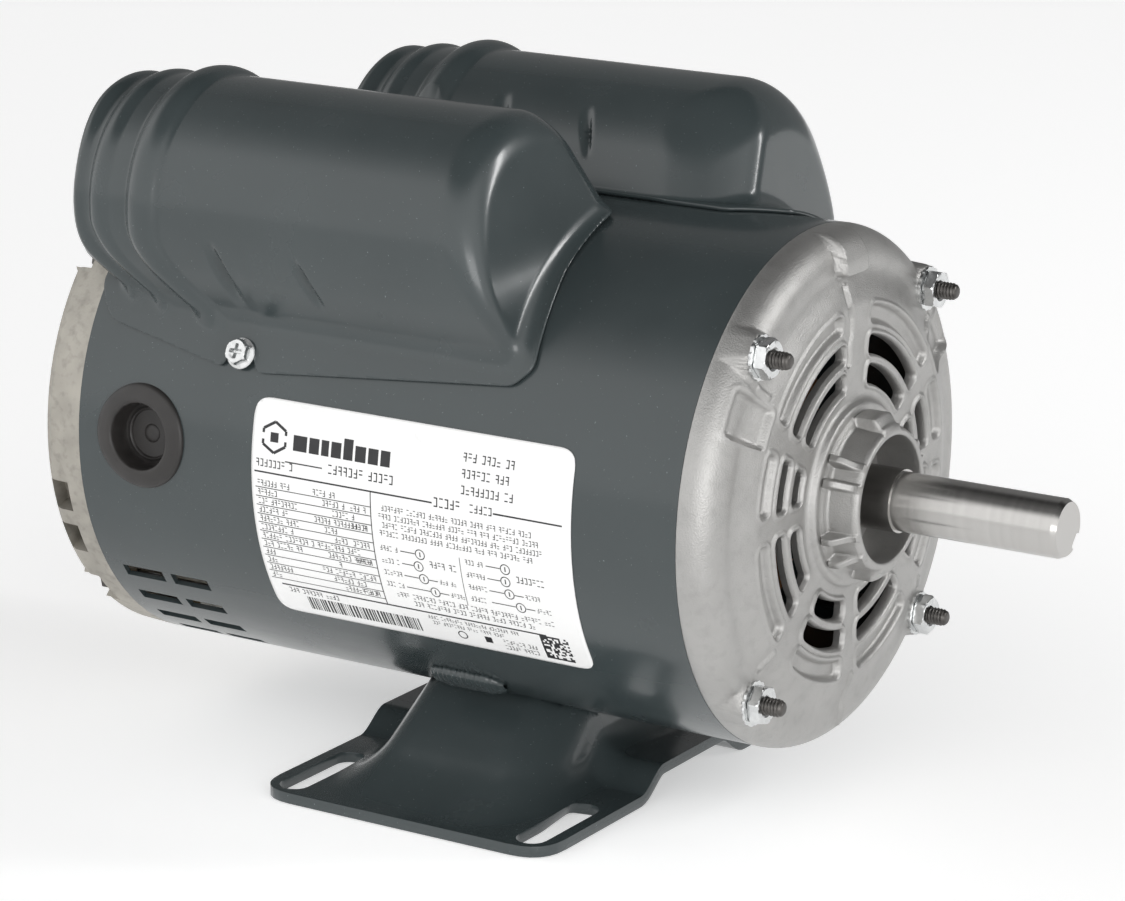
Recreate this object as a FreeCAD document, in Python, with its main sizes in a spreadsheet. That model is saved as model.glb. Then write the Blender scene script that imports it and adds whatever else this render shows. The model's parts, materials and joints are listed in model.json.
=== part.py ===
import FreeCAD, Part
import math
import os
import re
import Sketcher

# Single-phase capacitor motor on a foot mount, NEMA 56 shaft and feet.
# Motor frame: X along the shaft towards the drive end, Y across, Z up, with the origin on the
# shaft axis above the middle of the foot slots. MOTOR turns that frame into the part's frame,
# where the shaft points along -Y and Z = 0 is the underside of the base.
# Clock angles on the body: 0 is the nameplate side (-Y of the motor frame), 90 is the top.

CELLS = {
    # feet and base
    "shaft_height": 88.9,
    "slot_row_x": 38.1,
    "slot_centre_y": 57.5,
    "slot_half_width": 4.365,
    "slot_length": 34.0,
    "plate_half_x": 46.0,
    "plate_half_y": 77.4,
    "plate_corner": 9.0,
    "sheet_gauge": 3.0,
    "saddle_foot_x": 31.0,
    "saddle_foot_y": 60.0,
    "saddle_knee_x": 27.5,
    "saddle_knee_y": 47.0,
    "saddle_knee_z": 14.0,
    "saddle_top_x": 24.0,
    "saddle_top_y": 41.0,
    "saddle_top_z": 34.0,
    "arch_half_y": 20.0,
    "arch_height": 5.0,
    "weld_half_x": 10.0,
    "weld_radius": 3.4,
    "weld_clock": 306.0,
    # frame shell
    "shell_radius": 70.4,
    "shell_wall": 1.5,
    "shell_rear": -109.8,
    "shell_front": 80.4,
    "vent_row_half": 2.1,
    "conduit_x": -88.4,
    "conduit_clock": 3.5,
    "conduit_hole_radius": 11.1,
    "lead_hole_radius": 6.5,
    "lead_hole_x": -98.0,
    # drive end bell
    "face_x": 90.0,
    "face_corner": 9.0,
    "web": 3.5,
    "spigot": 4.0,
    "spigot_gap": 0.05,
    "spigot_wall": 3.0,
    "dome_rise": 3.0,
    "dome_low": 51.0,
    "dome_high": 58.5,
    "hub_ring_radius": 25.2,
    "hub_step_radius": 22.6,
    "hub_base_radius": 19.8,
    "hub_lip_radius": 18.8,
    "hub_bore_radius": 17.0,
    "hub_lip_x": 104.7,
    "hub_step_height": 1.3,
    "hub_rib_radius": 23.5,
    "hub_rib_tip_x": 102.0,
    "hub_rib_half": 1.2,
    "seat_wall": 5.0,
    "seat_gap": 0.02,
    "shaft_hole_radius": 12.0,
    "inner_window_low": 29.2,
    "inner_window_high": 34.2,
    "outer_window_low": 37.0,
    "outer_window_high": 42.0,
    "groove_low": 45.3,
    "groove_high": 50.0,
    "groove_depth": 1.4,
    "boss_radius": 8.0,
    "hood_low": 57.5,
    "hood_high": 68.5,
    "hood_half": 8.0,
    "hood_height": 3.4,
    # rear end bell
    "rear_face_x": -122.5,
    "rear_corner": 2.5,
    "rear_taper": 0.5,
    "rear_side_start": 0.9,
    "rear_side_end": 7.0,
    "rear_notch_depth": 5.5,
    "rear_notch_half": 6.8,
    "rear_window_low": 34.0,
    "rear_window_high": 56.0,
    "switch_post_y": 18.0,
    "switch_post_z": 38.0,
    "switch_post_radius": 3.5,
    # bearings, 17 x 40 x 12
    "bearing_bore": 8.5,
    "bearing_radius": 20.0,
    "bearing_width": 12.0,
    "bearing_pitch": 14.25,
    "ball_radius": 3.35,
    "race_groove": 3.4,
    "race_land_in": 11.3,
    "race_land_out": 17.2,
    "cage_low": 13.0,
    "cage_high": 15.5,
    "cage_half": 4.3,
    "drive_bearing_x": 76.0,
    "rear_bearing_x": -113.0,
    "washer_low": 15.5,
    "washer_high": 19.8,
    "washer_gauge": 1.4,
    # shaft
    "shaft_radius": 7.9375,
    "shaft_tip_x": 155.6,
    "shaft_shoulder_x": 108.0,
    "shaft_rear_x": -114.2,
    "shaft_body_radius": 9.5,
    "shaft_core_radius": 11.0,
    "shaft_chamfer": 1.5,
    "key_half": 2.38,
    "key_floor": 5.45,
    "key_start_x": 119.8,
    "key_clock": 221.0,
    # through bolts, no. 10-32
    "bolt_circle": 65.0,
    "bolt_radius": 2.4,
    "bolt_hole": 2.75,
    "bolt_tip_x": 99.2,
    "bolt_head_half": 4.0,
    "bolt_head_height": 3.2,
    "nut_half": 4.75,
    "nut_height": 3.3,
    "nut_washer_radius": 6.0,
    "nut_washer_gauge": 0.9,
    # stator and rotor
    "core_rear": -38.0,
    "core_front": 32.0,
    "stator_bore": 40.3,
    "slot_low": 42.0,
    "slot_high": 57.0,
    "slot_half": 1.9,
    "slot_mouth_half": 0.9,
    "rotor_radius": 40.0,
    "bar_circle": 36.3,
    "bar_radius": 1.7,
    "end_ring_low": 28.0,
    "end_ring_high": 39.3,
    "end_ring_length": 6.0,
    "fan_length": 7.0,
    "fan_half": 1.0,
    "turns_start_low": 42.3,
    "turns_split": 49.4,
    "turns_main_high": 60.0,
    "turns_reach": 18.0,
    "winding_gap": 0.15,
    # centrifugal switch
    "governor_ring_x": -64.0,
    "governor_ring_end": -60.0,
    "governor_ring_radius": 18.0,
    "governor_pivot_x": -70.0,
    "governor_pivot_y": 21.0,
    "governor_plate_low": 4.3,
    "governor_plate_high": 5.8,
    "governor_pin_radius": 1.2,
    "governor_pin_gap": 0.05,
    "collar_rear": -84.0,
    "collar_front": -66.3,
    "collar_radius": 17.0,
    "collar_flange": 20.0,
    "collar_gap": 0.06,
    "collar_stroke": 2.0,
    "collar_groove_floor": 14.0,
    "collar_groove_half": 2.1,
    "collar_pocket_radius": 12.2,
    "collar_pocket_x": -78.0,
    "spring_radius": 10.7,
    "spring_wire": 0.55,
    "spring_pitch": 2.1,
    "lever_pivot_x": -88.0,
    "lever_pivot_z": 28.0,
    "lever_face_x": -84.6,
    "lever_gauge": 1.6,
    "board_x": -98.0,
    "board_gauge": 3.0,
    "board_half_y": 24.0,
    "board_low": 23.0,
    "board_high": 46.0,
    # capacitor covers: x along the shaft, clock angle of the middle, radial height
    "cover_clock": 60.5,
    "cover_gauge": 1.2,
    "cover_seat_gap": 0.05,
    "cover_half": 33.3,
    "cover_centre": 75.6,
    "cover_rear": -108.5,
    "cover_front": 21.5,
    "cover_front_round": 10.0,
    "cover_rear_round": 5.0,
    "cover_rib_rear": -94.0,
    "cover_rib_front": -84.5,
    "cover_rib_rise": 2.3,
    "cover_rib_round": 2.1,
    "cover_far_shift": 38.0,
    "cover_screw_x": -57.9,
    "cover_screw_offset": 40.7,
    "screw_radius": 2.0,
    "screw_washer_radius": 4.35,
    "screw_head_half": 3.15,
    # capacitors
    "capacitor_radius": 17.5,
    "capacitor_centre": 88.7,
    "start_capacitor_rear": -84.0,
    "start_capacitor_front": 2.0,
    "run_capacitor_rear": -84.0,
    "run_capacitor_front": -14.0,
    "lead_radius": 1.3,
    "board_ring_low": 58.0,
    "board_ring_high": 61.0,
    "lead_circle": 62.6,
    # nameplate and conduit plug
    "nameplate_rear": -51.0,
    "nameplate_front": 49.6,
    "nameplate_low": -36.0,
    "nameplate_high": 17.0,
    "nameplate_gauge": 0.3,
    "plug_flange": 14.5,
    "plug_rise": 1.9,
    "plug_recess": 9.1,
}

WINDOW_SECTORS = ((5.5, 25), (35.5, 80.5), (99.5, 144.5), (155, 174.5), (184, 217.5), (231, 264.5),
                  (275.5, 309), (322.5, 356))
HUB_RIB_CLOCKS = (21, 38, 77, 103, 142, 159, 200, 222, 258, 282, 318, 340)
REAR_WINDOW_SECTORS = ((50, 85), (95, 130), (140, 175), (185, 220), (230, 265), (275, 310), (320, 355), (5, 40))
REAR_SIDE_SECTORS = ((329.5, 337.5), (341.5, 349), (191, 198.5), (202.5, 210.5))
VENT_CLOCKS = (-33.8, -42.9, -52.3, -62.0)
VENT_SPANS = ((-104.0, -90.5), (-87.5, -75.0))
LEAD_CLOCKS = (("red", -33.5), ("brown", -39.5), ("black", -52.0), ("white", -60.0))
STATOR_SLOTS = 36
ROTOR_BARS = 44
FAN_BLADES = 8
BALLS = 8
SPRING_TURNS = 5
BOLT_CLOCKS = (45, 135, 225, 315)

doc = FreeCAD.newDocument("CapacitorMotor")
sheet = doc.addObject("Spreadsheet::Sheet", "Sheet")
for row, (alias, number) in enumerate(CELLS.items(), start=1):
    sheet.set("A%d" % row, alias)
    sheet.set("B%d" % row, str(number))
    sheet.setAlias("B%d" % row, alias)
doc.recompute()

ALONG_X = FreeCAD.Rotation(FreeCAD.Vector(0, 1, 0), 90)
MOTOR = FreeCAD.Placement(
    FreeCAD.Vector(0, 0, CELLS["shaft_height"]), FreeCAD.Rotation(FreeCAD.Vector(0, 0, 1), -90))
PARTS = []


def formula(text):
    """Turn cell names in a formula into references to the sheet."""
    return re.sub(r"\b[a-z][a-z_]+\b(?!\()", lambda word: "Sheet." + word.group(0), str(text))


def number(text):
    """The present value of a formula of cell names."""
    return float(sheet.evalExpression(formula(text)))


def bind(item, **properties):
    """Bind properties to formulas; a double underscore stands for the dot in a property path."""
    for name, text in properties.items():
        item.setExpression(name.replace("__", "."), formula(text))
    return item


def turn_about_x(degrees):
    return FreeCAD.Rotation(FreeCAD.Vector(1, 0, 0), degrees)


def upright(clock):
    """Rotation that takes +Z to the direction of a clock angle."""
    return turn_about_x(90 - clock)


# Solids

def rod(radius, start, end, y="0", z="0"):
    """Cylinder along X."""
    item = doc.addObject("Part::Cylinder", "Rod")
    item.Placement = FreeCAD.Placement(FreeCAD.Vector(0, 0, 0), ALONG_X)
    return bind(item, Radius=radius, Height="(%s) - (%s)" % (end, start),
                Placement__Base__x=start, Placement__Base__y=y, Placement__Base__z=z)


def block(x, y, z):
    """Box from three pairs of limits."""
    item = doc.addObject("Part::Box", "Block")
    return bind(item, Length="(%s) - (%s)" % (x[1], x[0]), Width="(%s) - (%s)" % (y[1], y[0]),
                Height="(%s) - (%s)" % (z[1], z[0]), Placement__Base__x=x[0],
                Placement__Base__y=y[0], Placement__Base__z=z[0])


def cross_rod(radius, x, z, half_length):
    """Cylinder along Y."""
    item = doc.addObject("Part::Cylinder", "CrossRod")
    item.Placement = FreeCAD.Placement(
        FreeCAD.Vector(0, 0, 0), FreeCAD.Rotation(FreeCAD.Vector(1, 0, 0), -90))
    return bind(item, Radius=radius, Height="2 * (%s)" % half_length, Placement__Base__x=x,
                Placement__Base__y="-(%s)" % half_length, Placement__Base__z=z)


def post(radius, x, y, low, high):
    """Cylinder along Z."""
    item = doc.addObject("Part::Cylinder", "Post")
    return bind(item, Radius=radius, Height="(%s) - (%s)" % (high, low), Placement__Base__x=x,
                Placement__Base__y=y, Placement__Base__z=low)


def hexagon(half_flats, start, end, y="0", z="0"):
    """Hexagonal bar along X, by its half width across flats."""
    item = doc.addObject("Part::Prism", "Hexagon")
    item.Polygon = 6
    item.Placement = FreeCAD.Placement(FreeCAD.Vector(0, 0, 0), ALONG_X)
    return bind(item, Circumradius="(%s) / cos(30)" % half_flats,
                Height="(%s) - (%s)" % (end, start), Placement__Base__x=start,
                Placement__Base__y=y, Placement__Base__z=z)


def torus(major, minor, x):
    item = doc.addObject("Part::Torus", "Torus")
    item.Placement = FreeCAD.Placement(FreeCAD.Vector(0, 0, 0), ALONG_X)
    return bind(item, Radius1=major, Radius2=minor, Placement__Base__x=x)


def fuse(items):
    item = doc.addObject("Part::MultiFuse", "Fused")
    item.Shapes = items
    item.Refine = True
    return item


def cut(base, tools):
    item = doc.addObject("Part::Cut", "Cut")
    item.Base = base
    item.Tool = tools[0] if len(tools) == 1 else fuse(tools)
    item.Refine = True
    return item


def common(base, tool):
    item = doc.addObject("Part::Common", "Common")
    item.Base = base
    item.Tool = tool
    item.Refine = True
    return item


def placed(items, rotation, x="0"):
    """A group turned about the shaft axis and moved along it."""
    item = doc.addObject("Part::Compound", "Placed")
    item.Links = items
    item.Placement = FreeCAD.Placement(FreeCAD.Vector(0, 0, 0), rotation)
    return bind(item, Placement__Base__x=x)


def tube(outer, inner, start, end):
    return cut(rod(outer, start, end), [rod(inner, start, end)])


def sector(low, high, start, end, first, last):
    """Part of a ring about the shaft axis between two clock angles."""
    pieces = []
    for radius in (high, low):
        piece = rod(radius, start, end)
        piece.Angle = last - first
        # A cylinder starts its angle at -Z once it lies along X, and runs towards +Y.
        piece.Placement = FreeCAD.Placement(piece.Placement.Base, turn_about_x(90 - last).multiply(
            turn_about_x(180)).multiply(ALONG_X))
        pieces.append(piece)
    return cut(pieces[0], [pieces[1]])


def on_clock(items, clock, x="0"):
    """Move items built about +Z round to a clock angle."""
    return placed(items, upright(clock), x)


def at_bolts(items):
    return [on_clock(items, clock) for clock in BOLT_CLOCKS]


# Sub-parts

def node(label, items, placement=MOTOR):
    """Close a sub-part: its label names its file."""
    item = doc.addObject("Part::Compound", label)
    item.Links = items
    item.Label = label
    item.Placement = placement
    PARTS.append(item)
    return item


def origin_item(body, role):
    return next(item for item in body.Origin.OriginFeatures if item.Role == role)


def outline(body, role, points):
    """Closed outline on an origin plane; every corner is bound to formulas."""
    sketch = body.newObject("Sketcher::SketchObject", "Outline")
    sketch.AttachmentSupport = (origin_item(body, role), [""])
    sketch.MapMode = "FlatFace"
    corners = [FreeCAD.Vector(number(across), number(up), 0) for across, up in points]
    for index, corner in enumerate(corners):
        sketch.addGeometry(Part.LineSegment(corner, corners[(index + 1) % len(corners)]), False)
    for index in range(len(corners)):
        sketch.addConstraint(Sketcher.Constraint("Coincident", index, 2, (index + 1) % len(corners), 1))
    for index, point in enumerate(points):
        for kind, text in zip(("DistanceX", "DistanceY"), point):
            place = sketch.addConstraint(Sketcher.Constraint(kind, -1, 1, index, 1, number(text)))
            sketch.setExpression("Constraints[%d]" % place, formula(text))
    return sketch


def revolve(body, points):
    """Turn an outline of (x, radius) corners about the shaft axis."""
    turned = body.newObject("PartDesign::Revolution", "Turned")
    turned.Profile = outline(body, "XY_Plane", points)
    turned.ReferenceAxis = (origin_item(body, "X_Axis"), [""])
    turned.Angle = 360
    return turned


def wedge(foot, top, low, high):
    """Tapered block centred on the Z axis, from half sizes (x, y) at two heights."""
    item = doc.addObject("Part::Wedge", "Wedge")
    item.Placement = FreeCAD.Placement(
        FreeCAD.Vector(0, 0, 0), FreeCAD.Rotation(FreeCAD.Vector(1, 0, 0), 90))
    return bind(item, Xmin="-(%s)" % foot[0], Xmax=foot[0], Zmin="-(%s)" % foot[1], Zmax=foot[1],
                X2min="-(%s)" % top[0], X2max=top[0], Z2min="-(%s)" % top[1], Z2max=top[1],
                Ymin=low, Ymax=high)


def base_floor(height):
    """Height above the base's underside, in the motor frame."""
    return "%s - shaft_height" % height


def make_base():
    plate = block(("-plate_half_x", "plate_half_x"), ("-plate_half_y", "plate_half_y"),
                  (base_floor("0"), base_floor("sheet_gauge")))
    rounded = doc.addObject("Part::Fillet", "RoundedPlate")
    rounded.Base = plate
    doc.recompute()
    upright_edges = [index for index, edge in enumerate(plate.Shape.Edges, start=1)
                     if abs(edge.tangentAt(edge.FirstParameter).z) > 0.9]
    rounded.Edges = [(index, CELLS["plate_corner"], CELLS["plate_corner"]) for index in upright_edges]
    foot = ("saddle_foot_x", "saddle_foot_y")
    knee = ("saddle_knee_x", "saddle_knee_y")
    top = ("saddle_top_x", "saddle_top_y")
    outer = [wedge(foot, knee, base_floor("0"), base_floor("saddle_knee_z")),
             wedge(knee, top, base_floor("saddle_knee_z"), base_floor("saddle_top_z"))]
    inner_foot, inner_knee, inner_top = (
        ("%s - sheet_gauge" % half_x, "%s - 1.3 * sheet_gauge" % half_y)
        for half_x, half_y in (foot, knee, top))
    inner = [wedge(inner_foot, inner_knee, base_floor("0"), base_floor("saddle_knee_z")),
             wedge(inner_knee, inner_top, base_floor("saddle_knee_z"), base_floor("saddle_top_z"))]
    arch = block(("-plate_half_x", "plate_half_x"), ("-arch_half_y", "arch_half_y"),
                 (base_floor("0"), base_floor("arch_height")))
    slots = []
    for along in ("slot_row_x", "-slot_row_x"):
        for side in ("1", "-1"):
            middle = "%s * slot_centre_y" % side
            run = "slot_length / 2 - slot_half_width"
            low, high = base_floor("0"), base_floor("sheet_gauge")
            slots.append(block(("%s - slot_half_width" % along, "%s + slot_half_width" % along),
                               ("%s - (%s)" % (middle, run), "%s + %s" % (middle, run)), (low, high)))
            slots.append(post("slot_half_width", along, "%s - (%s)" % (middle, run), low, high))
            slots.append(post("slot_half_width", along, "%s + %s" % (middle, run), low, high))
    shell_room = rod("shell_radius", "-plate_half_x", "plate_half_x")
    stamped = cut(fuse([rounded] + outer), inner + [arch, shell_room] + slots)
    node("mounting_base", [stamped])
    return stamped


def make_welds(base):
    """Two fillet welds where the saddle meets the shell."""
    beads = []
    for clock in (CELLS["weld_clock"], 540 - CELLS["weld_clock"]):
        bead = rod("weld_radius", "-weld_half_x", "weld_half_x", z="shell_radius")
        beads.append(on_clock([bead], clock))
    room = rod("shell_radius", "-plate_half_x", "plate_half_x")
    node("base_welds", [cut(fuse(beads), [room, base])])


def make_shell():
    shell = tube("shell_radius", "shell_radius - shell_wall", "shell_rear", "shell_front")
    openings = []
    reach = ("shell_radius - 4 * shell_wall", "shell_radius + shell_wall")
    for clock in VENT_CLOCKS:
        for mirrored in (clock, 180 - clock):
            for start, end in VENT_SPANS:
                vent = block((start, end), ("-vent_row_half", "vent_row_half"), reach)
                openings.append(on_clock([vent], mirrored))
    openings.append(on_clock([post("conduit_hole_radius", "conduit_x", "0", *reach)],
                             CELLS["conduit_clock"]))
    for clock, shift in cover_places():
        lead_hole = post("lead_hole_radius", "lead_hole_x", "0", *reach)
        openings.append(on_clock([lead_hole], clock, shift))
        screw_hole = post("screw_radius", "cover_screw_x", "0", *reach)
        openings.append(on_clock([screw_hole], screw_clock(clock), shift))
    node("frame_shell", [cut(shell, openings)])


def cover_places():
    """Clock angle and shift along the shaft of the near and the far capacitor cover."""
    return ((CELLS["cover_clock"], "0"), (180 - CELLS["cover_clock"], "cover_far_shift"))


def screw_clock(cover_clock):
    """The screw sits low on the cover's flange."""
    lean = math.degrees(math.asin(CELLS["cover_screw_offset"] / CELLS["shell_radius"]))
    return cover_clock - lean if cover_clock < 90 else cover_clock + lean


def arch_prism(half, start, end, front_round, rear_round):
    """Round-topped prism along X, with its two ends rounded over."""
    prism = fuse([rod(half, start, end, z="cover_centre"),
                  block((start, end), ("-(%s)" % half, half), ("shell_radius / 2", "cover_centre"))])
    doc.recompute()
    rounded = doc.addObject("Part::Fillet", "RoundedArch")
    rounded.Base = prism
    edges = []
    for index, edge in enumerate(prism.Shape.Edges, start=1):
        box = edge.BoundBox
        flat = box.XLength < 1e-6
        foot = box.ZMax < number("cover_centre") - 1
        if flat and not foot:
            radius = front_round if box.XMax > number("(%s + (%s)) / 2" % (start, end)) else rear_round
            edges.append((index, number(radius), number(radius)))
    rounded.Edges = edges
    return rounded


def make_cover(label, clock, shift, side):
    """Deep-drawn cover: an arch with a bead near its rear end, on a flange that fits the shell."""
    outer = arch_prism("cover_half", "cover_rear", "cover_front", "cover_front_round", "cover_rear_round")
    bead = arch_prism("cover_half + cover_rib_rise", "cover_rib_rear", "cover_rib_front",
                      "cover_rib_round", "cover_rib_round")
    inner = arch_prism("cover_half - cover_gauge", "cover_rear + cover_gauge",
                       "cover_front - cover_gauge", "cover_front_round - cover_gauge",
                       "cover_rear_round - cover_gauge")
    seat = rod("shell_radius + cover_seat_gap", "shell_rear - 10", "shell_front")
    flange_points = ((-106.0, 35.5), (-103.0, 37.9), (-58.0, 44.9), (27.0, 38.4), (32.2, 33.3),
                     (28.4, 5.2), (27.5, -24.0), (14.0, -33.6), (-106.0, -33.6))
    corners = [FreeCAD.Vector(x, side * across, 0) for x, across in flange_points]
    face = Part.Face(Part.makePolygon(corners + corners[:1]))
    plan = doc.addObject("Part::Feature", "FlangePlan")
    plan.Shape = face
    column = doc.addObject("Part::Extrusion", "FlangeColumn")
    column.Base = plan
    column.DirMode = "Custom"
    column.Dir = FreeCAD.Vector(0, 0, 1)
    column.Solid = True
    bind(column, LengthFwd="shell_radius + 5")
    flange = common(rod("shell_radius + cover_seat_gap + cover_gauge", "shell_rear", "shell_front"),
                    column)
    screw_hole = placed([post("screw_radius + seat_gap", "cover_screw_x", "0", "60", "80")],
                        turn_about_x(side * -math.degrees(
                            math.asin(CELLS["cover_screw_offset"] / CELLS["shell_radius"]))))
    drawn = cut(fuse([outer, bead, flange]), [inner, seat, screw_hole])
    placement = MOTOR.multiply(FreeCAD.Placement(
        FreeCAD.Vector(number(shift), 0, 0), upright(clock)))
    return node(label, [drawn], placement)


def make_cover_screws():
    screws = []
    for clock, shift in cover_places():
        seat = "shell_radius + cover_seat_gap + cover_gauge"
        shank = post("screw_radius", "cover_screw_x", "0", "%s - 2.6" % seat, "%s + 0.8" % seat)
        washer = post("screw_washer_radius", "cover_screw_x", "0", seat, "%s + 0.8" % seat)
        head = doc.addObject("Part::Prism", "ScrewHead")
        head.Polygon = 6
        bind(head, Circumradius="screw_head_half / cos(30)", Height="3.4",
             Placement__Base__x="cover_screw_x", Placement__Base__z=seat)
        washer_seat = cut(fuse([washer, head]), [rod(seat, "shell_rear", "shell_front")])
        screws.append(on_clock([fuse([shank, washer_seat])], screw_clock(clock), shift))
    node("cover_screws", screws)


def make_capacitors():
    rest = ("shell_radius + 3 * cover_seat_gap", "capacitor_centre")
    pads = []
    for name, place, rear, front in (
            ("start_capacitor", cover_places()[0], "start_capacitor_rear", "start_capacitor_front"),
            ("run_capacitor", cover_places()[1], "run_capacitor_rear", "run_capacitor_front")):
        clock, shift = place
        can = rod("capacitor_radius", rear, front, z="capacitor_centre")
        rim = rod("capacitor_radius + 0.4", "%s - 2" % rear, rear, z="capacitor_centre")
        node(name, [on_clock([fuse([can, rim])], clock, shift)])
        tabs = []
        leads = []
        for across in ("-4", "4"):
            tabs.append(block(("%s - 10" % rear, "%s - 2" % rear), ("%s - 0.4" % across, "%s + 0.4" % across),
                              ("capacitor_centre - 3", "capacitor_centre + 3")))
            turn_x = "lead_hole_x"
            run = rod("lead_radius", turn_x, "%s - 10" % rear, y=across, z="capacitor_centre")
            drop = post("lead_radius", turn_x, across, "shell_radius - 12", "capacitor_centre")
            elbow = doc.addObject("Part::Sphere", "Elbow")
            bind(elbow, Radius="lead_radius", Placement__Base__x=turn_x, Placement__Base__y=across,
                 Placement__Base__z="capacitor_centre")
            leads.append(fuse([run, drop, elbow]))
        node(name + "_tabs", [on_clock(tabs, clock, shift)])
        node(name + "_leads", [on_clock(leads, clock, shift)])
        strip = block(("%s + 10" % rear, "%s - 10" % front), ("-9", "9"), rest)
        pads.append(on_clock([cut(strip, [
            rod("shell_radius + 3 * cover_seat_gap", "shell_rear", "shell_front"),
            rod("capacitor_radius + cover_seat_gap", rear, front, z="capacitor_centre")])], clock, shift))
    node("capacitor_pads", pads)


def bell_bolt_features(low, high):
    """Bosses and holes on the bolt circle."""
    bosses = at_bolts([rod("boss_radius", low, high, z="bolt_circle")])
    holes = at_bolts([rod("bolt_hole", "rear_face_x - 5", "face_x + 5", z="bolt_circle")])
    return bosses, holes


def make_drive_end_bell():
    inner = "shell_radius - shell_wall - spigot_gap"
    seat_end = "drive_bearing_x + bearing_width"
    disc = doc.addObject("PartDesign::Body", "DriveBellDisc")
    corner_start = "face_x - face_corner"
    dome_x = "face_x + dome_rise"
    revolve(disc, [
        ("shell_front - spigot", "%s - spigot_wall" % inner),
        ("shell_front - spigot", inner),
        ("shell_front", inner),
        ("shell_front", "shell_radius"),
        (corner_start, "shell_radius"),
        ("%s + face_corner * sin(30)" % corner_start, "shell_radius - face_corner * (1 - cos(30))"),
        ("%s + face_corner * sin(60)" % corner_start, "shell_radius - face_corner * (1 - cos(60))"),
        ("face_x", "shell_radius - face_corner"),
        ("face_x", "dome_high"),
        (dome_x, "dome_low"),
        (dome_x, "hub_ring_radius"),
        ("%s + hub_step_height" % dome_x, "hub_ring_radius"),
        ("%s + hub_step_height" % dome_x, "hub_step_radius"),
        ("%s + 2 * hub_step_height" % dome_x, "hub_step_radius"),
        ("%s + 3 * hub_step_height" % dome_x, "hub_base_radius"),
        ("hub_lip_x", "hub_lip_radius"),
        ("hub_lip_x", "hub_bore_radius"),
        ("%s + web" % seat_end, "hub_bore_radius"),
        ("%s + web" % seat_end, "shaft_hole_radius"),
        (seat_end, "shaft_hole_radius"),
        (seat_end, "bearing_radius + seat_gap"),
        ("drive_bearing_x", "bearing_radius + seat_gap"),
        ("drive_bearing_x", "bearing_radius + seat_wall"),
        ("face_x - web", "bearing_radius + seat_wall"),
        ("face_x - web", "%s - 1.5 * spigot_wall" % inner),
    ])
    bosses, holes = bell_bolt_features("shell_front", "face_x")
    round_rim = rod("shell_radius", "shell_rear", "hub_lip_x")
    ribs = []
    for clock in HUB_RIB_CLOCKS:
        rib = block(("face_x", "hub_rib_tip_x"), ("-hub_rib_half", "hub_rib_half"),
                    ("hub_bore_radius", "hub_rib_radius"))
        ribs.append(on_clock([rib], clock))
    hood_block = block(("face_x - face_corner", "face_x + hood_height"), ("-hood_half", "hood_half"),
                       ("hood_low", "hood_high"))
    hood = on_clock([hood_block], 90)
    windows = []
    for first, last in WINDOW_SECTORS:
        windows.append(sector("inner_window_low", "inner_window_high", "face_x - 2 * web",
                              "face_x + web", first, last))
        windows.append(sector("outer_window_low", "outer_window_high", "face_x - 2 * web",
                              "face_x + web", first, last))
        windows.append(sector("groove_low", "groove_high", "%s - groove_depth" % dome_x,
                              "face_x + web", first, last))
    bore = rod("hub_bore_radius", "%s + web" % seat_end, "hub_lip_x + 1")
    hub_ribs = cut(fuse(ribs), [bore])
    casting = fuse([cut(disc, windows), common(fuse(bosses), round_rim), common(hood, round_rim), hub_ribs])
    node("drive_end_bell", [cut(casting, holes)])


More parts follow.
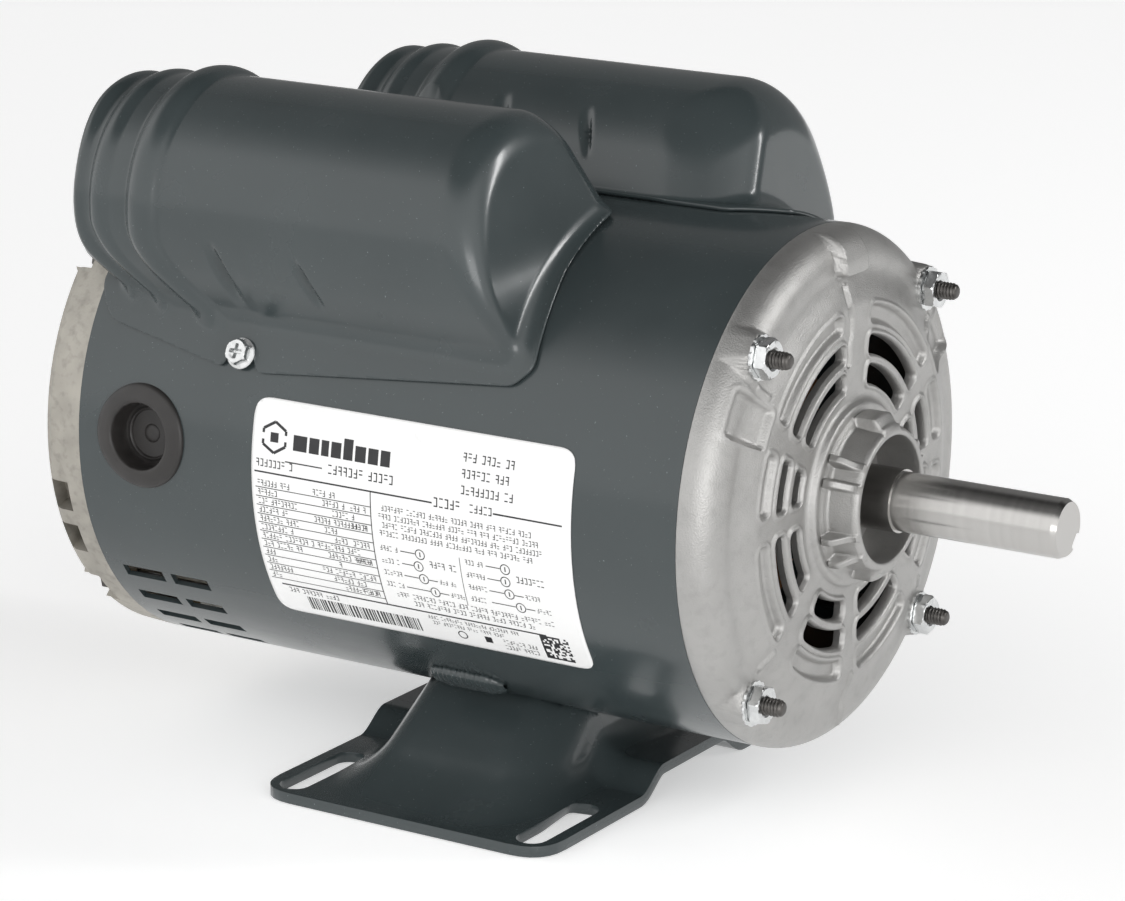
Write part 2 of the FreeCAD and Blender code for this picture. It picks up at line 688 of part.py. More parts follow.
def make_rear_end_bell():
    inner = "shell_radius - shell_wall - spigot_gap"
    seat_floor = "rear_bearing_x - washer_gauge"
    disc = doc.addObject("PartDesign::Body", "RearBellDisc")
    corner_x = "rear_face_x + rear_corner"
    edge = "shell_radius - rear_taper"
    revolve(disc, [
        ("shell_rear + spigot", "%s - spigot_wall" % inner),
        ("shell_rear + spigot", inner),
        ("shell_rear", inner),
        ("shell_rear", "shell_radius"),
        (corner_x, edge),
        ("%s - rear_corner * sin(45)" % corner_x, "%s - rear_corner * (1 - cos(45))" % edge),
        ("rear_face_x", "%s - rear_corner" % edge),
        ("rear_face_x", "0"),
        ("%s - web / 2" % seat_floor, "0"),
        ("%s - web / 2" % seat_floor, "shaft_hole_radius"),
        (seat_floor, "shaft_hole_radius"),
        (seat_floor, "bearing_radius + seat_gap"),
        ("rear_bearing_x + bearing_width", "bearing_radius + seat_gap"),
        ("rear_bearing_x + bearing_width", "bearing_radius + seat_wall"),
        ("rear_face_x + web", "bearing_radius + seat_wall"),
        ("rear_face_x + web", "%s - rear_corner - spigot_wall" % inner),
        ("%s + web / 2" % corner_x, "%s - spigot_wall" % inner),
    ])
    bosses, holes = bell_bolt_features("rear_face_x", "shell_rear")
    rim = rod("%s" % edge, "rear_face_x", "shell_rear")
    windows = []
    for first, last in REAR_WINDOW_SECTORS:
        windows.append(sector("rear_window_low", "rear_window_high", "rear_face_x - 1",
                              "rear_face_x + 2 * web", first, last))
    for first, last in REAR_SIDE_SECTORS:
        windows.append(sector("shell_radius - 2 * spigot_wall", "shell_radius + 1",
                              "rear_face_x + rear_side_start", "rear_face_x + rear_side_end",
                              first, last))
    posts = []
    for side in ("1", "-1"):
        posts.append(rod("switch_post_radius", "rear_face_x + web / 2", "board_x",
                         y="%s * switch_post_y" % side, z="switch_post_z"))
    spider = [on_clock([block(("rear_face_x", "rear_face_x + web"), ("-4", "4"), ("20", "62"))], clock)
              for clock in (65, 115)]
    depth = ("rear_face_x - 1", "rear_face_x + rear_notch_depth")
    notch = [rod("rear_notch_half", *depth, z="bolt_circle"),
             block(depth, ("-rear_notch_half", "rear_notch_half"), ("bolt_circle", "shell_radius + 2"))]
    notched = cut(fuse([disc, common(fuse(bosses), rim)]), at_bolts(notch))
    casting = fuse([cut(notched, windows)] + posts + spider)
    node("rear_end_bell", [cut(casting, holes)])


def make_bearing(prefix, start):
    middle = "%s + bearing_width / 2" % start
    end = "%s + bearing_width" % start
    groove = "race_groove"
    node(prefix + "_outer_race", [cut(tube("bearing_radius", "race_land_out", start, end),
                                      [torus("bearing_pitch", groove, middle)])])
    node(prefix + "_inner_race", [cut(tube("race_land_in", "bearing_bore", start, end),
                                      [torus("bearing_pitch", groove, middle)])])
    balls = []
    pockets = []
    for index in range(BALLS):
        for radius, group in (("ball_radius", balls), ("race_groove", pockets)):
            ball = doc.addObject("Part::Sphere", "Ball")
            bind(ball, Radius=radius, Placement__Base__x=middle, Placement__Base__z="bearing_pitch")
            group.append(on_clock([ball], index * 360 / BALLS))
    node(prefix + "_balls", balls)
    ring = tube("cage_high", "cage_low", "%s - cage_half" % middle, "%s + cage_half" % middle)
    node(prefix + "_cage", [cut(ring, pockets)])


def make_shaft():
    body = doc.addObject("PartDesign::Body", "ShaftBlank")
    revolve(body, [
        ("shaft_rear_x", "0"),
        ("shaft_rear_x", "bearing_bore"),
        ("rear_bearing_x + bearing_width", "bearing_bore"),
        ("rear_bearing_x + bearing_width", "shaft_body_radius"),
        ("governor_ring_end", "shaft_body_radius"),
        ("governor_ring_end", "shaft_core_radius"),
        ("core_front + turns_reach", "shaft_core_radius"),
        ("core_front + turns_reach", "shaft_body_radius"),
        ("drive_bearing_x", "shaft_body_radius"),
        ("drive_bearing_x", "bearing_bore"),
        ("shaft_shoulder_x", "bearing_bore"),
        ("shaft_shoulder_x", "shaft_radius"),
        ("shaft_tip_x - shaft_chamfer", "shaft_radius"),
        ("shaft_tip_x", "shaft_radius - shaft_chamfer / 2"),
        ("shaft_tip_x", "0"),
    ])
    keyway = block(("key_start_x", "shaft_tip_x + 1"), ("-key_half", "key_half"),
                   ("key_floor", "shaft_radius + 1"))
    # The blank is turned so that its seam lies in the keyway.
    blank = placed([body], turn_about_x(180 - CELLS["key_clock"]))
    node("shaft", [cut(blank, [on_clock([keyway], CELLS["key_clock"])])])


def spaced(items, count, offset=0.0):
    return [on_clock(items, offset + index * 360 / count) for index in range(count)]


def make_stator():
    laminations = tube("shell_radius - shell_wall - spigot_gap", "stator_bore", "core_rear", "core_front")
    slot = block(("core_rear", "core_front"), ("-slot_half", "slot_half"), ("slot_low", "slot_high"))
    mouth = block(("core_rear", "core_front"), ("-slot_mouth_half", "slot_mouth_half"),
                  ("stator_bore - 1", "slot_low"))
    openings = spaced([slot, mouth], STATOR_SLOTS)
    bolt_room = at_bolts([rod("bolt_hole", "core_rear", "core_front", z="bolt_circle")])
    node("stator_core", [cut(laminations, openings + bolt_room)])
    for label, low, high, reach in (
            ("main_winding", "turns_split + winding_gap", "slot_high - winding_gap", "turns_reach"),
            ("start_winding", "turns_start_low", "turns_split - winding_gap", "0.8 * turns_reach")):
        ring_high = "turns_main_high" if label == "main_winding" else high
        front = tube(ring_high, low, "core_front + winding_gap", "core_front + %s" % reach)
        rear = tube(ring_high, low, "core_rear - %s" % reach, "core_rear - winding_gap")
        sides = spaced([block(("core_rear - 1", "core_front + 1"),
                              ("winding_gap - slot_half", "slot_half - winding_gap"), (low, high))],
                       STATOR_SLOTS)
        node(label, [fuse([front, rear] + sides)])


def make_rotor():
    bars = spaced([rod("bar_radius", "core_rear", "core_front", z="bar_circle")], ROTOR_BARS)
    core = tube("rotor_radius", "shaft_core_radius", "core_rear", "core_front")
    node("rotor_core", [cut(core, bars)])
    rings = []
    for start, end, blade_start, blade_end in (
            ("core_front", "core_front + end_ring_length", "core_front + end_ring_length",
             "core_front + end_ring_length + fan_length"),
            ("core_rear - end_ring_length", "core_rear", "core_rear - end_ring_length - fan_length",
             "core_rear - end_ring_length")):
        rings.append(tube("end_ring_high", "end_ring_low", start, end))
        rings += spaced([block((blade_start, blade_end), ("-fan_half", "fan_half"),
                               ("end_ring_low + 0.5", "end_ring_high - 0.5"))], FAN_BLADES)
    bars = spaced([rod("bar_radius", "core_rear", "core_front", z="bar_circle")], ROTOR_BARS)
    node("rotor_cage", [fuse(rings + bars)])


def make_through_bolts():
    seat = "rear_face_x + rear_notch_depth"
    bolt = fuse([rod("bolt_radius", seat, "bolt_tip_x", z="bolt_circle"),
                 hexagon("bolt_head_half", "%s - bolt_head_height" % seat, seat, z="bolt_circle")])
    node("through_bolts", at_bolts([bolt]))
    washer_end = "face_x + nut_washer_gauge"
    washer = cut(rod("nut_washer_radius", "face_x", washer_end, z="bolt_circle"),
                 [rod("bolt_radius + seat_gap", "face_x", washer_end, z="bolt_circle")])
    node("nut_lock_washers", at_bolts([washer]))
    nut = cut(hexagon("nut_half", washer_end, "%s + nut_height" % washer_end, z="bolt_circle"),
              [rod("bolt_radius + seat_gap", "face_x", "%s + nut_height" % washer_end, z="bolt_circle")])
    node("through_bolt_nuts", at_bolts([nut]))


def make_governor():
    ring = tube("governor_ring_radius", "shaft_body_radius", "governor_ring_x", "governor_ring_end")
    cheeks = []
    pins = []
    for side in (1, -1):
        pivot_y = "%d * governor_pivot_y" % side
        for low, high in (("governor_plate_low", "governor_plate_high"),
                          ("-governor_plate_high", "-governor_plate_low")):
            span = ("17.6", "24.5") if side > 0 else ("-24.5", "-17.6")
            plate = block(("governor_pivot_x - 2.5", "governor_ring_end"), span, (low, high))
            hole = post("governor_pin_radius", "governor_pivot_x", pivot_y, low, high)
            cheeks.append(cut(plate, [hole]))
            foot_span = ("14", "20") if side > 0 else ("-20", "-14")
            cheeks.append(block(("governor_ring_x", "governor_ring_end"), foot_span, (low, high)))
        pins.append(post("governor_pin_radius", "governor_pivot_x", pivot_y,
                         "-governor_plate_high", "governor_plate_high"))
    node("governor_hub", [fuse([ring] + cheeks)])
    node("governor_pins", pins)
    for label, side in (("governor_weight_left", -1), ("governor_weight_right", 1)):
        pivot_y = "%d * governor_pivot_y" % side
        width = ("0.4 - governor_plate_low", "governor_plate_low - 0.4")

        def across(low, high):
            return (low, high) if side > 0 else ("-(%s)" % high, "-(%s)" % low)

        finger = block(("governor_pivot_x - 1", "governor_pivot_x + 1"),
                       across("collar_groove_floor + 0.6", "governor_pivot_y"), width)
        mass = block(("governor_pivot_x", "governor_pivot_x + 14"),
                     across("governor_pivot_y - 1.8", "governor_pivot_y + 3.4"), width)
        barrel = post("2.4", "governor_pivot_x", pivot_y, *width)
        bore = post("governor_pin_radius + governor_pin_gap", "governor_pivot_x", pivot_y, *width)
        node(label, [cut(fuse([finger, mass, barrel]), [bore])])
    sleeve = tube("collar_radius", "shaft_body_radius + collar_gap", "collar_rear", "collar_front")
    flange = tube("collar_flange", "shaft_body_radius + collar_gap", "collar_rear", "collar_rear + 2.5")
    groove = tube("collar_flange", "collar_groove_floor", "governor_pivot_x - collar_groove_half",
                  "governor_pivot_x + collar_groove_half")
    pocket = rod("collar_pocket_radius", "collar_pocket_x", "collar_front")
    node("governor_collar", [cut(fuse([sleeve, flange]), [groove, pocket])])
    first_turn = "collar_pocket_x + collar_stroke + 2 * spring_wire"
    turns = [torus("spring_radius", "spring_wire", "%s + %d * spring_pitch" % (first_turn, turn))
             for turn in range(SPRING_TURNS)]
    node("governor_spring", turns)


def make_start_switch():
    board = block(("board_x", "board_x + board_gauge"), ("-board_half_y", "board_half_y"),
                  ("board_low", "board_high"))
    ears = []
    for side in (1, -1):
        span = ("board_half_y - 3", "board_half_y") if side > 0 else ("-board_half_y", "3 - board_half_y")
        ears.append(block(("board_x", "lever_pivot_x + 3"), span, ("lever_pivot_z - 4", "lever_pivot_z + 4")))
    holes = [cross_rod("governor_pin_radius", "lever_pivot_x", "lever_pivot_z", "board_half_y")]
    for side in ("1", "-1"):
        holes.append(rod("1.5", "board_x - 1", "board_x + board_gauge",
                         y="%s * switch_post_y" % side, z="switch_post_z"))
    node("start_switch_board", [cut(fuse([board] + ears), holes)])
    node("switch_pin", [cross_rod("governor_pin_radius", "lever_pivot_x", "lever_pivot_z", "board_half_y")])
    face = ("lever_face_x - lever_gauge", "lever_face_x")
    bridge = block(face, ("-18", "18"), ("lever_pivot_z - 6", "lever_pivot_z + 2"))
    prongs = [block(face, span, ("-2", "lever_pivot_z")) for span in (("12.5", "18"), ("-18", "-12.5"))]
    arm = block(("lever_pivot_x", "lever_face_x - lever_gauge / 2"), ("-18", "18"),
                ("lever_pivot_z - 2", "lever_pivot_z + 2"))
    barrel = cross_rod("2.6", "lever_pivot_x", "lever_pivot_z", "18")
    bore = cross_rod("governor_pin_radius + governor_pin_gap", "lever_pivot_x", "lever_pivot_z", "19")
    node("switch_lever", [cut(fuse([bridge, arm, barrel] + prongs), [bore])])
    contacts = [block(("board_x + board_gauge", "board_x + board_gauge + 2"), span, ("38", "43"))
                for span in (("-8", "-3"), ("3", "8"))]
    node("switch_contacts", contacts)
    screws = []
    for side in ("1", "-1"):
        place = {"y": "%s * switch_post_y" % side, "z": "switch_post_z"}
        head_x = "board_x + board_gauge"
        screws.append(fuse([rod("1.5 - seat_gap", "board_x", head_x, **place),
                            rod("3", head_x, "%s + 2" % head_x, **place)]))
    node("switch_screws", screws)


def make_leads():
    board = sector("board_ring_low", "board_ring_high", "shell_rear + 6", "core_rear - turns_reach - 12",
                   -70, -28)
    feet = [sector("board_ring_low", "shell_radius - shell_wall - spigot_gap", "shell_rear + 6",
                   "shell_rear + 14", first, last) for first, last in ((-72, -69), (-29, -26))]
    node("terminal_board", [fuse([board] + feet)])
    clips = []
    for colour, clock in LEAD_CLOCKS:
        lead = rod("lead_radius", "shell_rear + 12", "core_rear - turns_reach", z="lead_circle")
        node("lead_wire_" + colour, [on_clock([lead], clock)])
        clip = block(("shell_rear + 7", "shell_rear + 12"), ("-1.6", "1.6"),
                     ("board_ring_high", "lead_circle + 1"))
        clips.append(on_clock([cut(clip, [rod("board_ring_high", "shell_rear", "core_rear")])], clock))
    node("lead_terminals", clips)
    cup = rod("11", "core_rear - turns_reach - 9", "core_rear - turns_reach", y="20", z="-46")
    node("thermal_protector", [cup])


def make_skin_parts():
    """Nameplate and conduit plug on the outside of the shell."""
    low, high = CELLS["nameplate_low"], CELLS["nameplate_high"]
    node("nameplate", [sector("shell_radius", "shell_radius + nameplate_gauge", "nameplate_rear",
                              "nameplate_front", low, high)])
    top = "shell_radius + plug_rise"
    flange = cut(post("plug_flange", "conduit_x", "0", "shell_radius - 3", top),
                 [rod("shell_radius", "shell_rear", "shell_front")])
    barrel = post("conduit_hole_radius - seat_gap", "conduit_x", "0", "shell_radius - 8", "%s - 1" % top)
    recess = post("plug_recess", "conduit_x", "0", "shell_radius - 6", "%s + 1" % top)
    node("conduit_plug", [on_clock([cut(fuse([flange, barrel]), [recess])], CELLS["conduit_clock"])])


def make_all():
    base = make_base()
    make_welds(base)
    make_shell()
    make_cover("start_capacitor_cover", *cover_places()[0], side=-1)
    make_cover("run_capacitor_cover", *cover_places()[1], side=1)
    make_cover_screws()
    make_capacitors()
    make_drive_end_bell()
    make_rear_end_bell()
    make_bearing("drive_bearing", "drive_bearing_x")
    make_bearing("rear_bearing", "rear_bearing_x")
    washer_start = "rear_bearing_x - washer_gauge"
    node("preload_washer", [tube("washer_high", "washer_low", washer_start, "rear_bearing_x")])
    make_shaft()
    make_stator()
    make_rotor()
    make_through_bolts()
    make_governor()
    make_start_switch()
    make_leads()
    make_skin_parts()


def write_parts():
    doc.recompute()
    failed = [item for item in doc.Objects if "Invalid" in item.State or "Error" in item.State]
    if failed:
        users = [(item.Name, item.getStatusString(), [user.Name for user in item.InList])
                 for item in failed]
        raise RuntimeError("failed objects: %s" % users)
    os.makedirs("parts", exist_ok=True)
    for item in PARTS:
        shape = item.Shape
        if shape.isNull() or not shape.isValid() or not shape.Solids:
            raise RuntimeError("bad shape: " + item.Label)
        shape.exportStep("parts/%s.step" % item.Label)
        print("%-24s solids %2d volume %10.1f" % (item.Label, len(shape.Solids), shape.Volume))


make_all()
write_parts()
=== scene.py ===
import json
import math
from collections import Counter

import bmesh
import bpy
import numpy as np
from mathutils import Matrix, Vector

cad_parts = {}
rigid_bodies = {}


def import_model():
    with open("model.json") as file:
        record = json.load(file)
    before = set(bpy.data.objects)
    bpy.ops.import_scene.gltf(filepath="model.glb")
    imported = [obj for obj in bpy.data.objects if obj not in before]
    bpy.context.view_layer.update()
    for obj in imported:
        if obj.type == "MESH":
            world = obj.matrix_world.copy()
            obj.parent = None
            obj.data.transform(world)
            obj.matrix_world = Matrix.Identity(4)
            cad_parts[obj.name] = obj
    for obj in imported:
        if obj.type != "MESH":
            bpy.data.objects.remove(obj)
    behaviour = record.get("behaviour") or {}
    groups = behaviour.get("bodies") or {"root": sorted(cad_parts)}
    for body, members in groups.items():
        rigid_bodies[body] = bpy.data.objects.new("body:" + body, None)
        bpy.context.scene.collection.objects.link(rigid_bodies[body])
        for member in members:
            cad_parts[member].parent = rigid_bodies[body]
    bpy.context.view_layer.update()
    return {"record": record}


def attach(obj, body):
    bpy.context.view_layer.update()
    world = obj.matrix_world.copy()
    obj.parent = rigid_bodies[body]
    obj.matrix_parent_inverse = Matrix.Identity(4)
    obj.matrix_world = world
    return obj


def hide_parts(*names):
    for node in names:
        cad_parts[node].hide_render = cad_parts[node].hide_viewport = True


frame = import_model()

# Shapes are worked out in the motor's own frame, in millimetres: x along the shaft towards the
# drive end, y across (the nameplate is on the -y side) and z up from the shaft axis. row() turns
# them into the part's frame in metres. Clock angles: 0 is the nameplate side, 90 is the top.

MM = 0.001
AXIS_HEIGHT = 88.9
SHELL = 70.4  # outer radius of the painted shell
HALVINGS = 24
CORNER_STEPS = 6
FAR_OFF = 99.0  # farther than anything here


def row(points):
    """Points of the motor's frame in millimetres, as points of the part's frame in metres."""
    points = np.asarray(points, float)
    return np.stack([points[..., 1], -points[..., 0], points[..., 2] + AXIS_HEIGHT], axis=-1) * MM


def on_clock(along, across, out, clock):
    """Points given along the shaft, across and outwards from the axis at a clock angle."""
    turn = math.radians(clock)
    return np.stack([along, -out * math.cos(turn) + across * math.sin(turn),
                     out * math.sin(turn) + across * math.cos(turn)], axis=-1)


def ramp(value, start, end):
    """Smooth step from 0 at start to 1 at end."""
    part = np.clip((np.asarray(value, float) - start) / (end - start), 0, 1)
    return part * part * (3 - 2 * part)


def bump(value, middle, half):
    """Smooth hump of height 1 at the middle, 0 beyond the half width."""
    return np.clip(1 - ((np.asarray(value, float) - middle) / half) ** 2, 0, 1) ** 2


def round_both(first, second, radius):
    """Signed distance of what two solids share, with its edge rounded."""
    over = np.hypot(np.maximum(first + radius, 0), np.maximum(second + radius, 0))
    return np.minimum(np.maximum(first, second), -radius) + over


def round_either(first, second, radius):
    """Signed distance of two solids together, with a fillet between them."""
    under = np.hypot(np.maximum(radius - first, 0), np.maximum(radius - second, 0))
    return np.maximum(np.minimum(first, second), radius) - under


def cast(origin, direction, solid, reach):
    """Where rays that start inside a solid leave it, found by halving the interval."""
    low = np.zeros(len(origin))
    high = np.full(len(origin), float(reach))
    for _ in range(HALVINGS):
        middle = (low + high) / 2
        place = origin + direction * middle[:, None]
        inside = solid(place[:, 0], place[:, 1], place[:, 2]) < 0
        low = np.where(inside, middle, low)
        high = np.where(inside, high, middle)
    return origin + direction * low[:, None]


def rounded_outline(corners, radius):
    """Closed outline whose corners are quadratic curves of about the given size."""
    points = []
    corners = [np.array(corner, float) for corner in corners]
    for index, corner in enumerate(corners):
        before = corners[index - 1] - corner
        after = corners[(index + 1) % len(corners)] - corner
        start = corner + before / np.linalg.norm(before) * min(radius, np.linalg.norm(before) * 0.49)
        end = corner + after / np.linalg.norm(after) * min(radius, np.linalg.norm(after) * 0.49)
        for step in range(CORNER_STEPS + 1):
            part = step / CORNER_STEPS
            points.append((1 - part) ** 2 * start + 2 * part * (1 - part) * corner + part ** 2 * end)
    return np.array(points)


def to_outline(points, outline):
    """Nearest points of a closed outline, and whether each given point lies inside it."""
    best = np.full(len(points), np.inf)
    nearest = points.copy()
    inside = np.zeros(len(points), bool)
    for start, end in zip(outline, np.roll(outline, -1, axis=0)):
        edge = end - start
        length = float(edge @ edge)
        if length < 1e-12:
            continue
        part = np.clip((points - start) @ edge / length, 0, 1)
        foot = start + part[:, None] * edge
        distance = np.hypot(*(points - foot).T)
        nearest = np.where((distance < best)[:, None], foot, nearest)
        best = np.minimum(best, distance)
        crosses = (start[1] > points[:, 1]) != (end[1] > points[:, 1])
        with np.errstate(divide="ignore", invalid="ignore"):
            at = start[0] + (points[:, 1] - start[1]) * edge[0] / edge[1]
        inside ^= crosses & (points[:, 0] < at)
    return nearest, inside


def grid_faces(rows, columns, closed=False):
    """Quads between neighbouring rows of points; closed joins the last column to the first."""
    faces = []
    for i in range(rows - 1):
        for j in range(columns if closed else columns - 1):
            k = (j + 1) % columns
            faces.append((i * columns + j, i * columns + k,
                          (i + 1) * columns + k, (i + 1) * columns + j))
    return faces


MERGE_WITHIN = 0.01 * MM
SHORTEST_EDGE = 0.002 * MM
BEVEL_ANGLE = math.radians(40)


def piece(name, points, faces, slot, node="", look="", sharp=35, away_from=None, thickness=0.0,
          bevel=0.0):
    """A new mesh piece from points of the motor's frame, in place of a CAD node if one is named.

    It has its slot's material unless look names another. Its faces look away from the point
    away_from; thickness grows inwards from them, and bevel rounds the edges of the sheet.
    """
    mesh = bpy.data.meshes.new(name)
    mesh.from_pydata([tuple(point) for point in row(points)], [], [tuple(face) for face in faces])
    work = bmesh.new()
    work.from_mesh(mesh)
    bmesh.ops.remove_doubles(work, verts=work.verts, dist=MERGE_WITHIN)
    bmesh.ops.dissolve_degenerate(work, edges=work.edges, dist=SHORTEST_EDGE)
    loose = [vert for vert in work.verts if not vert.link_faces]
    bmesh.ops.delete(work, geom=loose, context="VERTS")
    if away_from is None:
        bmesh.ops.recalc_face_normals(work, faces=work.faces)
    else:
        work.normal_update()
        inner = Vector(row(np.array(away_from, float)))
        side = sum((face.calc_center_median() - inner).dot(face.normal) * face.calc_area()
                   for face in work.faces)
        if side < 0:
            bmesh.ops.reverse_faces(work, faces=work.faces)
    work.to_mesh(mesh)
    work.free()
    mesh.polygons.foreach_set("use_smooth", [True] * len(mesh.polygons))
    mesh.set_sharp_from_angle(angle=math.radians(sharp))
    made = bpy.data.objects.new(name, mesh)
    bpy.context.scene.collection.objects.link(made)
    mesh.materials.append(materials[look or slot])
    if thickness:
        sheet = made.modifiers.new("sheet", "SOLIDIFY")
        sheet.thickness = thickness * MM
        sheet.offset = -1
    if bevel:
        edge = made.modifiers.new("edge", "BEVEL")
        edge.width = bevel * MM
        edge.segments = 2
        edge.limit_method = "ANGLE"
        edge.angle_limit = BEVEL_ANGLE
    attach(made, "root")
    if node:
        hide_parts(node)


def join(parts):
    """Several (points, faces) lists as one."""
    points = []
    faces = []
    for some_points, some_faces in parts:
        first = sum(len(group) for group in points)
        points.append(np.asarray(some_points, float).reshape(-1, 3))
        faces += [tuple(first + index for index in face) for face in some_faces]
    return np.concatenate(points), faces


# ---------------------------------------------------------------- materials

def set_inputs(node, values):
    for key, value in values.items():
        node.inputs[key].default_value = value


def finish(name, colour, rough, metal=0.0, mottle=0.12, mottle_size=14.0, rough_spread=0.12,
           grain_size=0.5, grain=0.01, stretch=(1, 1, 1), coat=0.0, specks=0.0, dirt=0.0):
    """Procedural material: blotchy colour, uneven roughness, fine grain and worn, dusty spots."""
    material = bpy.data.materials.new(name)
    material.use_nodes = True
    nodes, links = material.node_tree.nodes, material.node_tree.links
    shader = nodes["Principled BSDF"]
    set_inputs(shader, {"Metallic": metal, "Coat Weight": coat, "Coat Roughness": 0.12})
    place = nodes.new("ShaderNodeTexCoord").outputs["Object"]
    mapping = nodes.new("ShaderNodeMapping")
    set_inputs(mapping, {"Scale": stretch})
    links.new(place, mapping.inputs["Vector"])

    def noise(size_mm, detail=3.0):
        texture = nodes.new("ShaderNodeTexNoise")
        set_inputs(texture, {"Scale": 1 / (size_mm * MM), "Detail": detail})
        links.new(mapping.outputs["Vector"], texture.inputs["Vector"])
        return texture.outputs["Fac"]

    def spread(value, low, high, start=0.3, end=0.7):
        area = nodes.new("ShaderNodeMapRange")
        links.new(value, area.inputs["Value"])
        set_inputs(area, {"From Min": start, "From Max": end, "To Min": low, "To Max": high})
        return area.outputs["Result"]

    def mix(factor, first, second):
        blend = nodes.new("ShaderNodeMix")
        blend.data_type = "RGBA"
        links.new(factor, blend.inputs["Factor"])
        for key, value in ((6, first), (7, second)):
            if isinstance(value, tuple):
                blend.inputs[key].default_value = (*value, 1)
            else:
                links.new(value, blend.inputs[key])
        return blend.outputs[2]

    dark = tuple(channel * (1 - mottle) for channel in colour)
    light = tuple(min(channel * (1 + mottle), 1) for channel in colour)
    tone = mix(spread(noise(mottle_size), 0, 1), dark, light)
    if dirt:
        shade = tuple(channel * 0.35 for channel in colour)
        tone = mix(spread(noise(mottle_size / 3, 6), 0, dirt, 0.5, 0.75), tone, shade)
    if specks:
        dust = tuple(min(channel * 6 + 0.1, 0.8) for channel in colour)
        tone = mix(spread(noise(0.55, 1), 0, specks, 0.765, 0.79), tone, dust)
    links.new(tone, shader.inputs["Base Color"])
    links.new(spread(noise(mottle_size / 2, 4), rough - rough_spread / 2, rough + rough_spread / 2),
              shader.inputs["Roughness"])
    relief = nodes.new("ShaderNodeBump")
    set_inputs(relief, {"Strength": 0.8, "Distance": grain * MM})
    links.new(noise(grain_size, 4), relief.inputs["Height"])
    links.new(relief.outputs["Normal"], shader.inputs["Normal"])
    return material


def make_materials():
    """One material for each slot of the part, and the ink of the rating plate."""
    return {
        "paint": finish("grey_enamel", (0.038, 0.049, 0.051), 0.24, mottle=0.06, mottle_size=30,
                        rough_spread=0.08, grain_size=1.6, coat=0.3, specks=0.35),
        "cast_drive": finish("drive_casting", (0.41, 0.405, 0.395), 0.42, metal=0.85, mottle=0.05,
                             mottle_size=9, rough_spread=0.06, grain_size=0.45, grain=0.16, dirt=0.15),
        "cast_rear": finish("rear_casting", (0.40, 0.38, 0.34), 0.55, metal=0.7, mottle_size=7,
                            grain_size=0.7, grain=0.06, dirt=0.35),
        "machined_steel": finish("turned_steel", (0.50, 0.49, 0.475), 0.20, metal=1.0, mottle=0.04,
                                 mottle_size=60, rough_spread=0.06, grain_size=4.0,
                                 stretch=(1, 30, 1)),
        "zinc": finish("zinc_plate", (0.66, 0.67, 0.67), 0.20, metal=1.0, mottle=0.08, mottle_size=3,
                       grain_size=0.3, grain=0.006, dirt=0.15),
        "stud_steel": finish("dark_steel", (0.10, 0.095, 0.09), 0.38, metal=0.9, mottle=0.25,
                             mottle_size=2, grain_size=0.3),
        "label": finish("label_film", (0.86, 0.86, 0.855), 0.32, mottle=0.02, mottle_size=25,
                        grain_size=2.5, grain=0.004, coat=0.15),
        "plug_plastic": finish("black_plastic", (0.022, 0.020, 0.019), 0.42, mottle=0.25, mottle_size=5,
                               grain_size=0.5, grain=0.015),
        "phenolic": finish("phenolic", (0.05, 0.045, 0.04), 0.45, mottle=0.3, grain_size=0.8),
        "board_plastic": finish("cream_plastic", (0.74, 0.70, 0.60), 0.45, mottle=0.05),
        "copper": finish("varnished_copper", (0.46, 0.19, 0.07), 0.35, metal=0.6, mottle=0.3,
                         mottle_size=3, grain_size=0.8, grain=0.15, coat=0.4),
        "lamination": finish("lamination_steel", (0.22, 0.22, 0.23), 0.42, metal=0.9, mottle=0.15,
                             grain_size=0.5, grain=0.03, stretch=(0.05, 1, 0.05)),
        "cage_alloy": finish("cage_alloy", (0.62, 0.62, 0.63), 0.38, metal=0.95, mottle=0.1, grain=0.03),
        "bearing_steel": finish("ground_steel", (0.60, 0.60, 0.61), 0.16, metal=1.0, mottle=0.05,
                                grain=0.003),
        "cage_brass": finish("pressed_brass", (0.60, 0.42, 0.16), 0.30, metal=1.0, mottle=0.1),
        "can_aluminium": finish("drawn_aluminium", (0.68, 0.68, 0.69), 0.28, metal=1.0, mottle=0.05,
                                grain=0.006, stretch=(1, 6, 1)),
        "foam": finish("foam", (0.05, 0.05, 0.05), 0.9, mottle=0.3, mottle_size=2, grain_size=0.6,
                       grain=0.2),
        "collar_nylon": finish("nylon", (0.66, 0.63, 0.54), 0.42, mottle=0.06),
        "contact_brass": finish("stamped_brass", (0.66, 0.46, 0.18), 0.28, metal=1.0, mottle=0.08,
                                grain=0.006),
        "lead_red": finish("red_lead", (0.50, 0.035, 0.02), 0.40, mottle=0.15),
        "lead_brown": finish("orange_lead", (0.55, 0.16, 0.03), 0.40, mottle=0.15),
        "lead_black": finish("black_lead", (0.02, 0.02, 0.02), 0.40, mottle=0.2),
        "lead_white": finish("white_lead", (0.78, 0.76, 0.70), 0.40, mottle=0.08),
        "ink": finish("black_ink", (0.018, 0.018, 0.02), 0.40, mottle=0.2, mottle_size=2, grain=0.002),
    }


def dress_cad_nodes():
    """Every carried-over CAD node takes the material of its slot."""
    for entry in frame["record"]["subparts"]:
        for item in bpy.data.objects:
            if item.type == "MESH" and item.name == entry["node"]:
                item.data.materials.clear()
                item.data.materials.append(materials[entry["material_slot"]])


# ---------------------------------------------------------------- capacitor covers

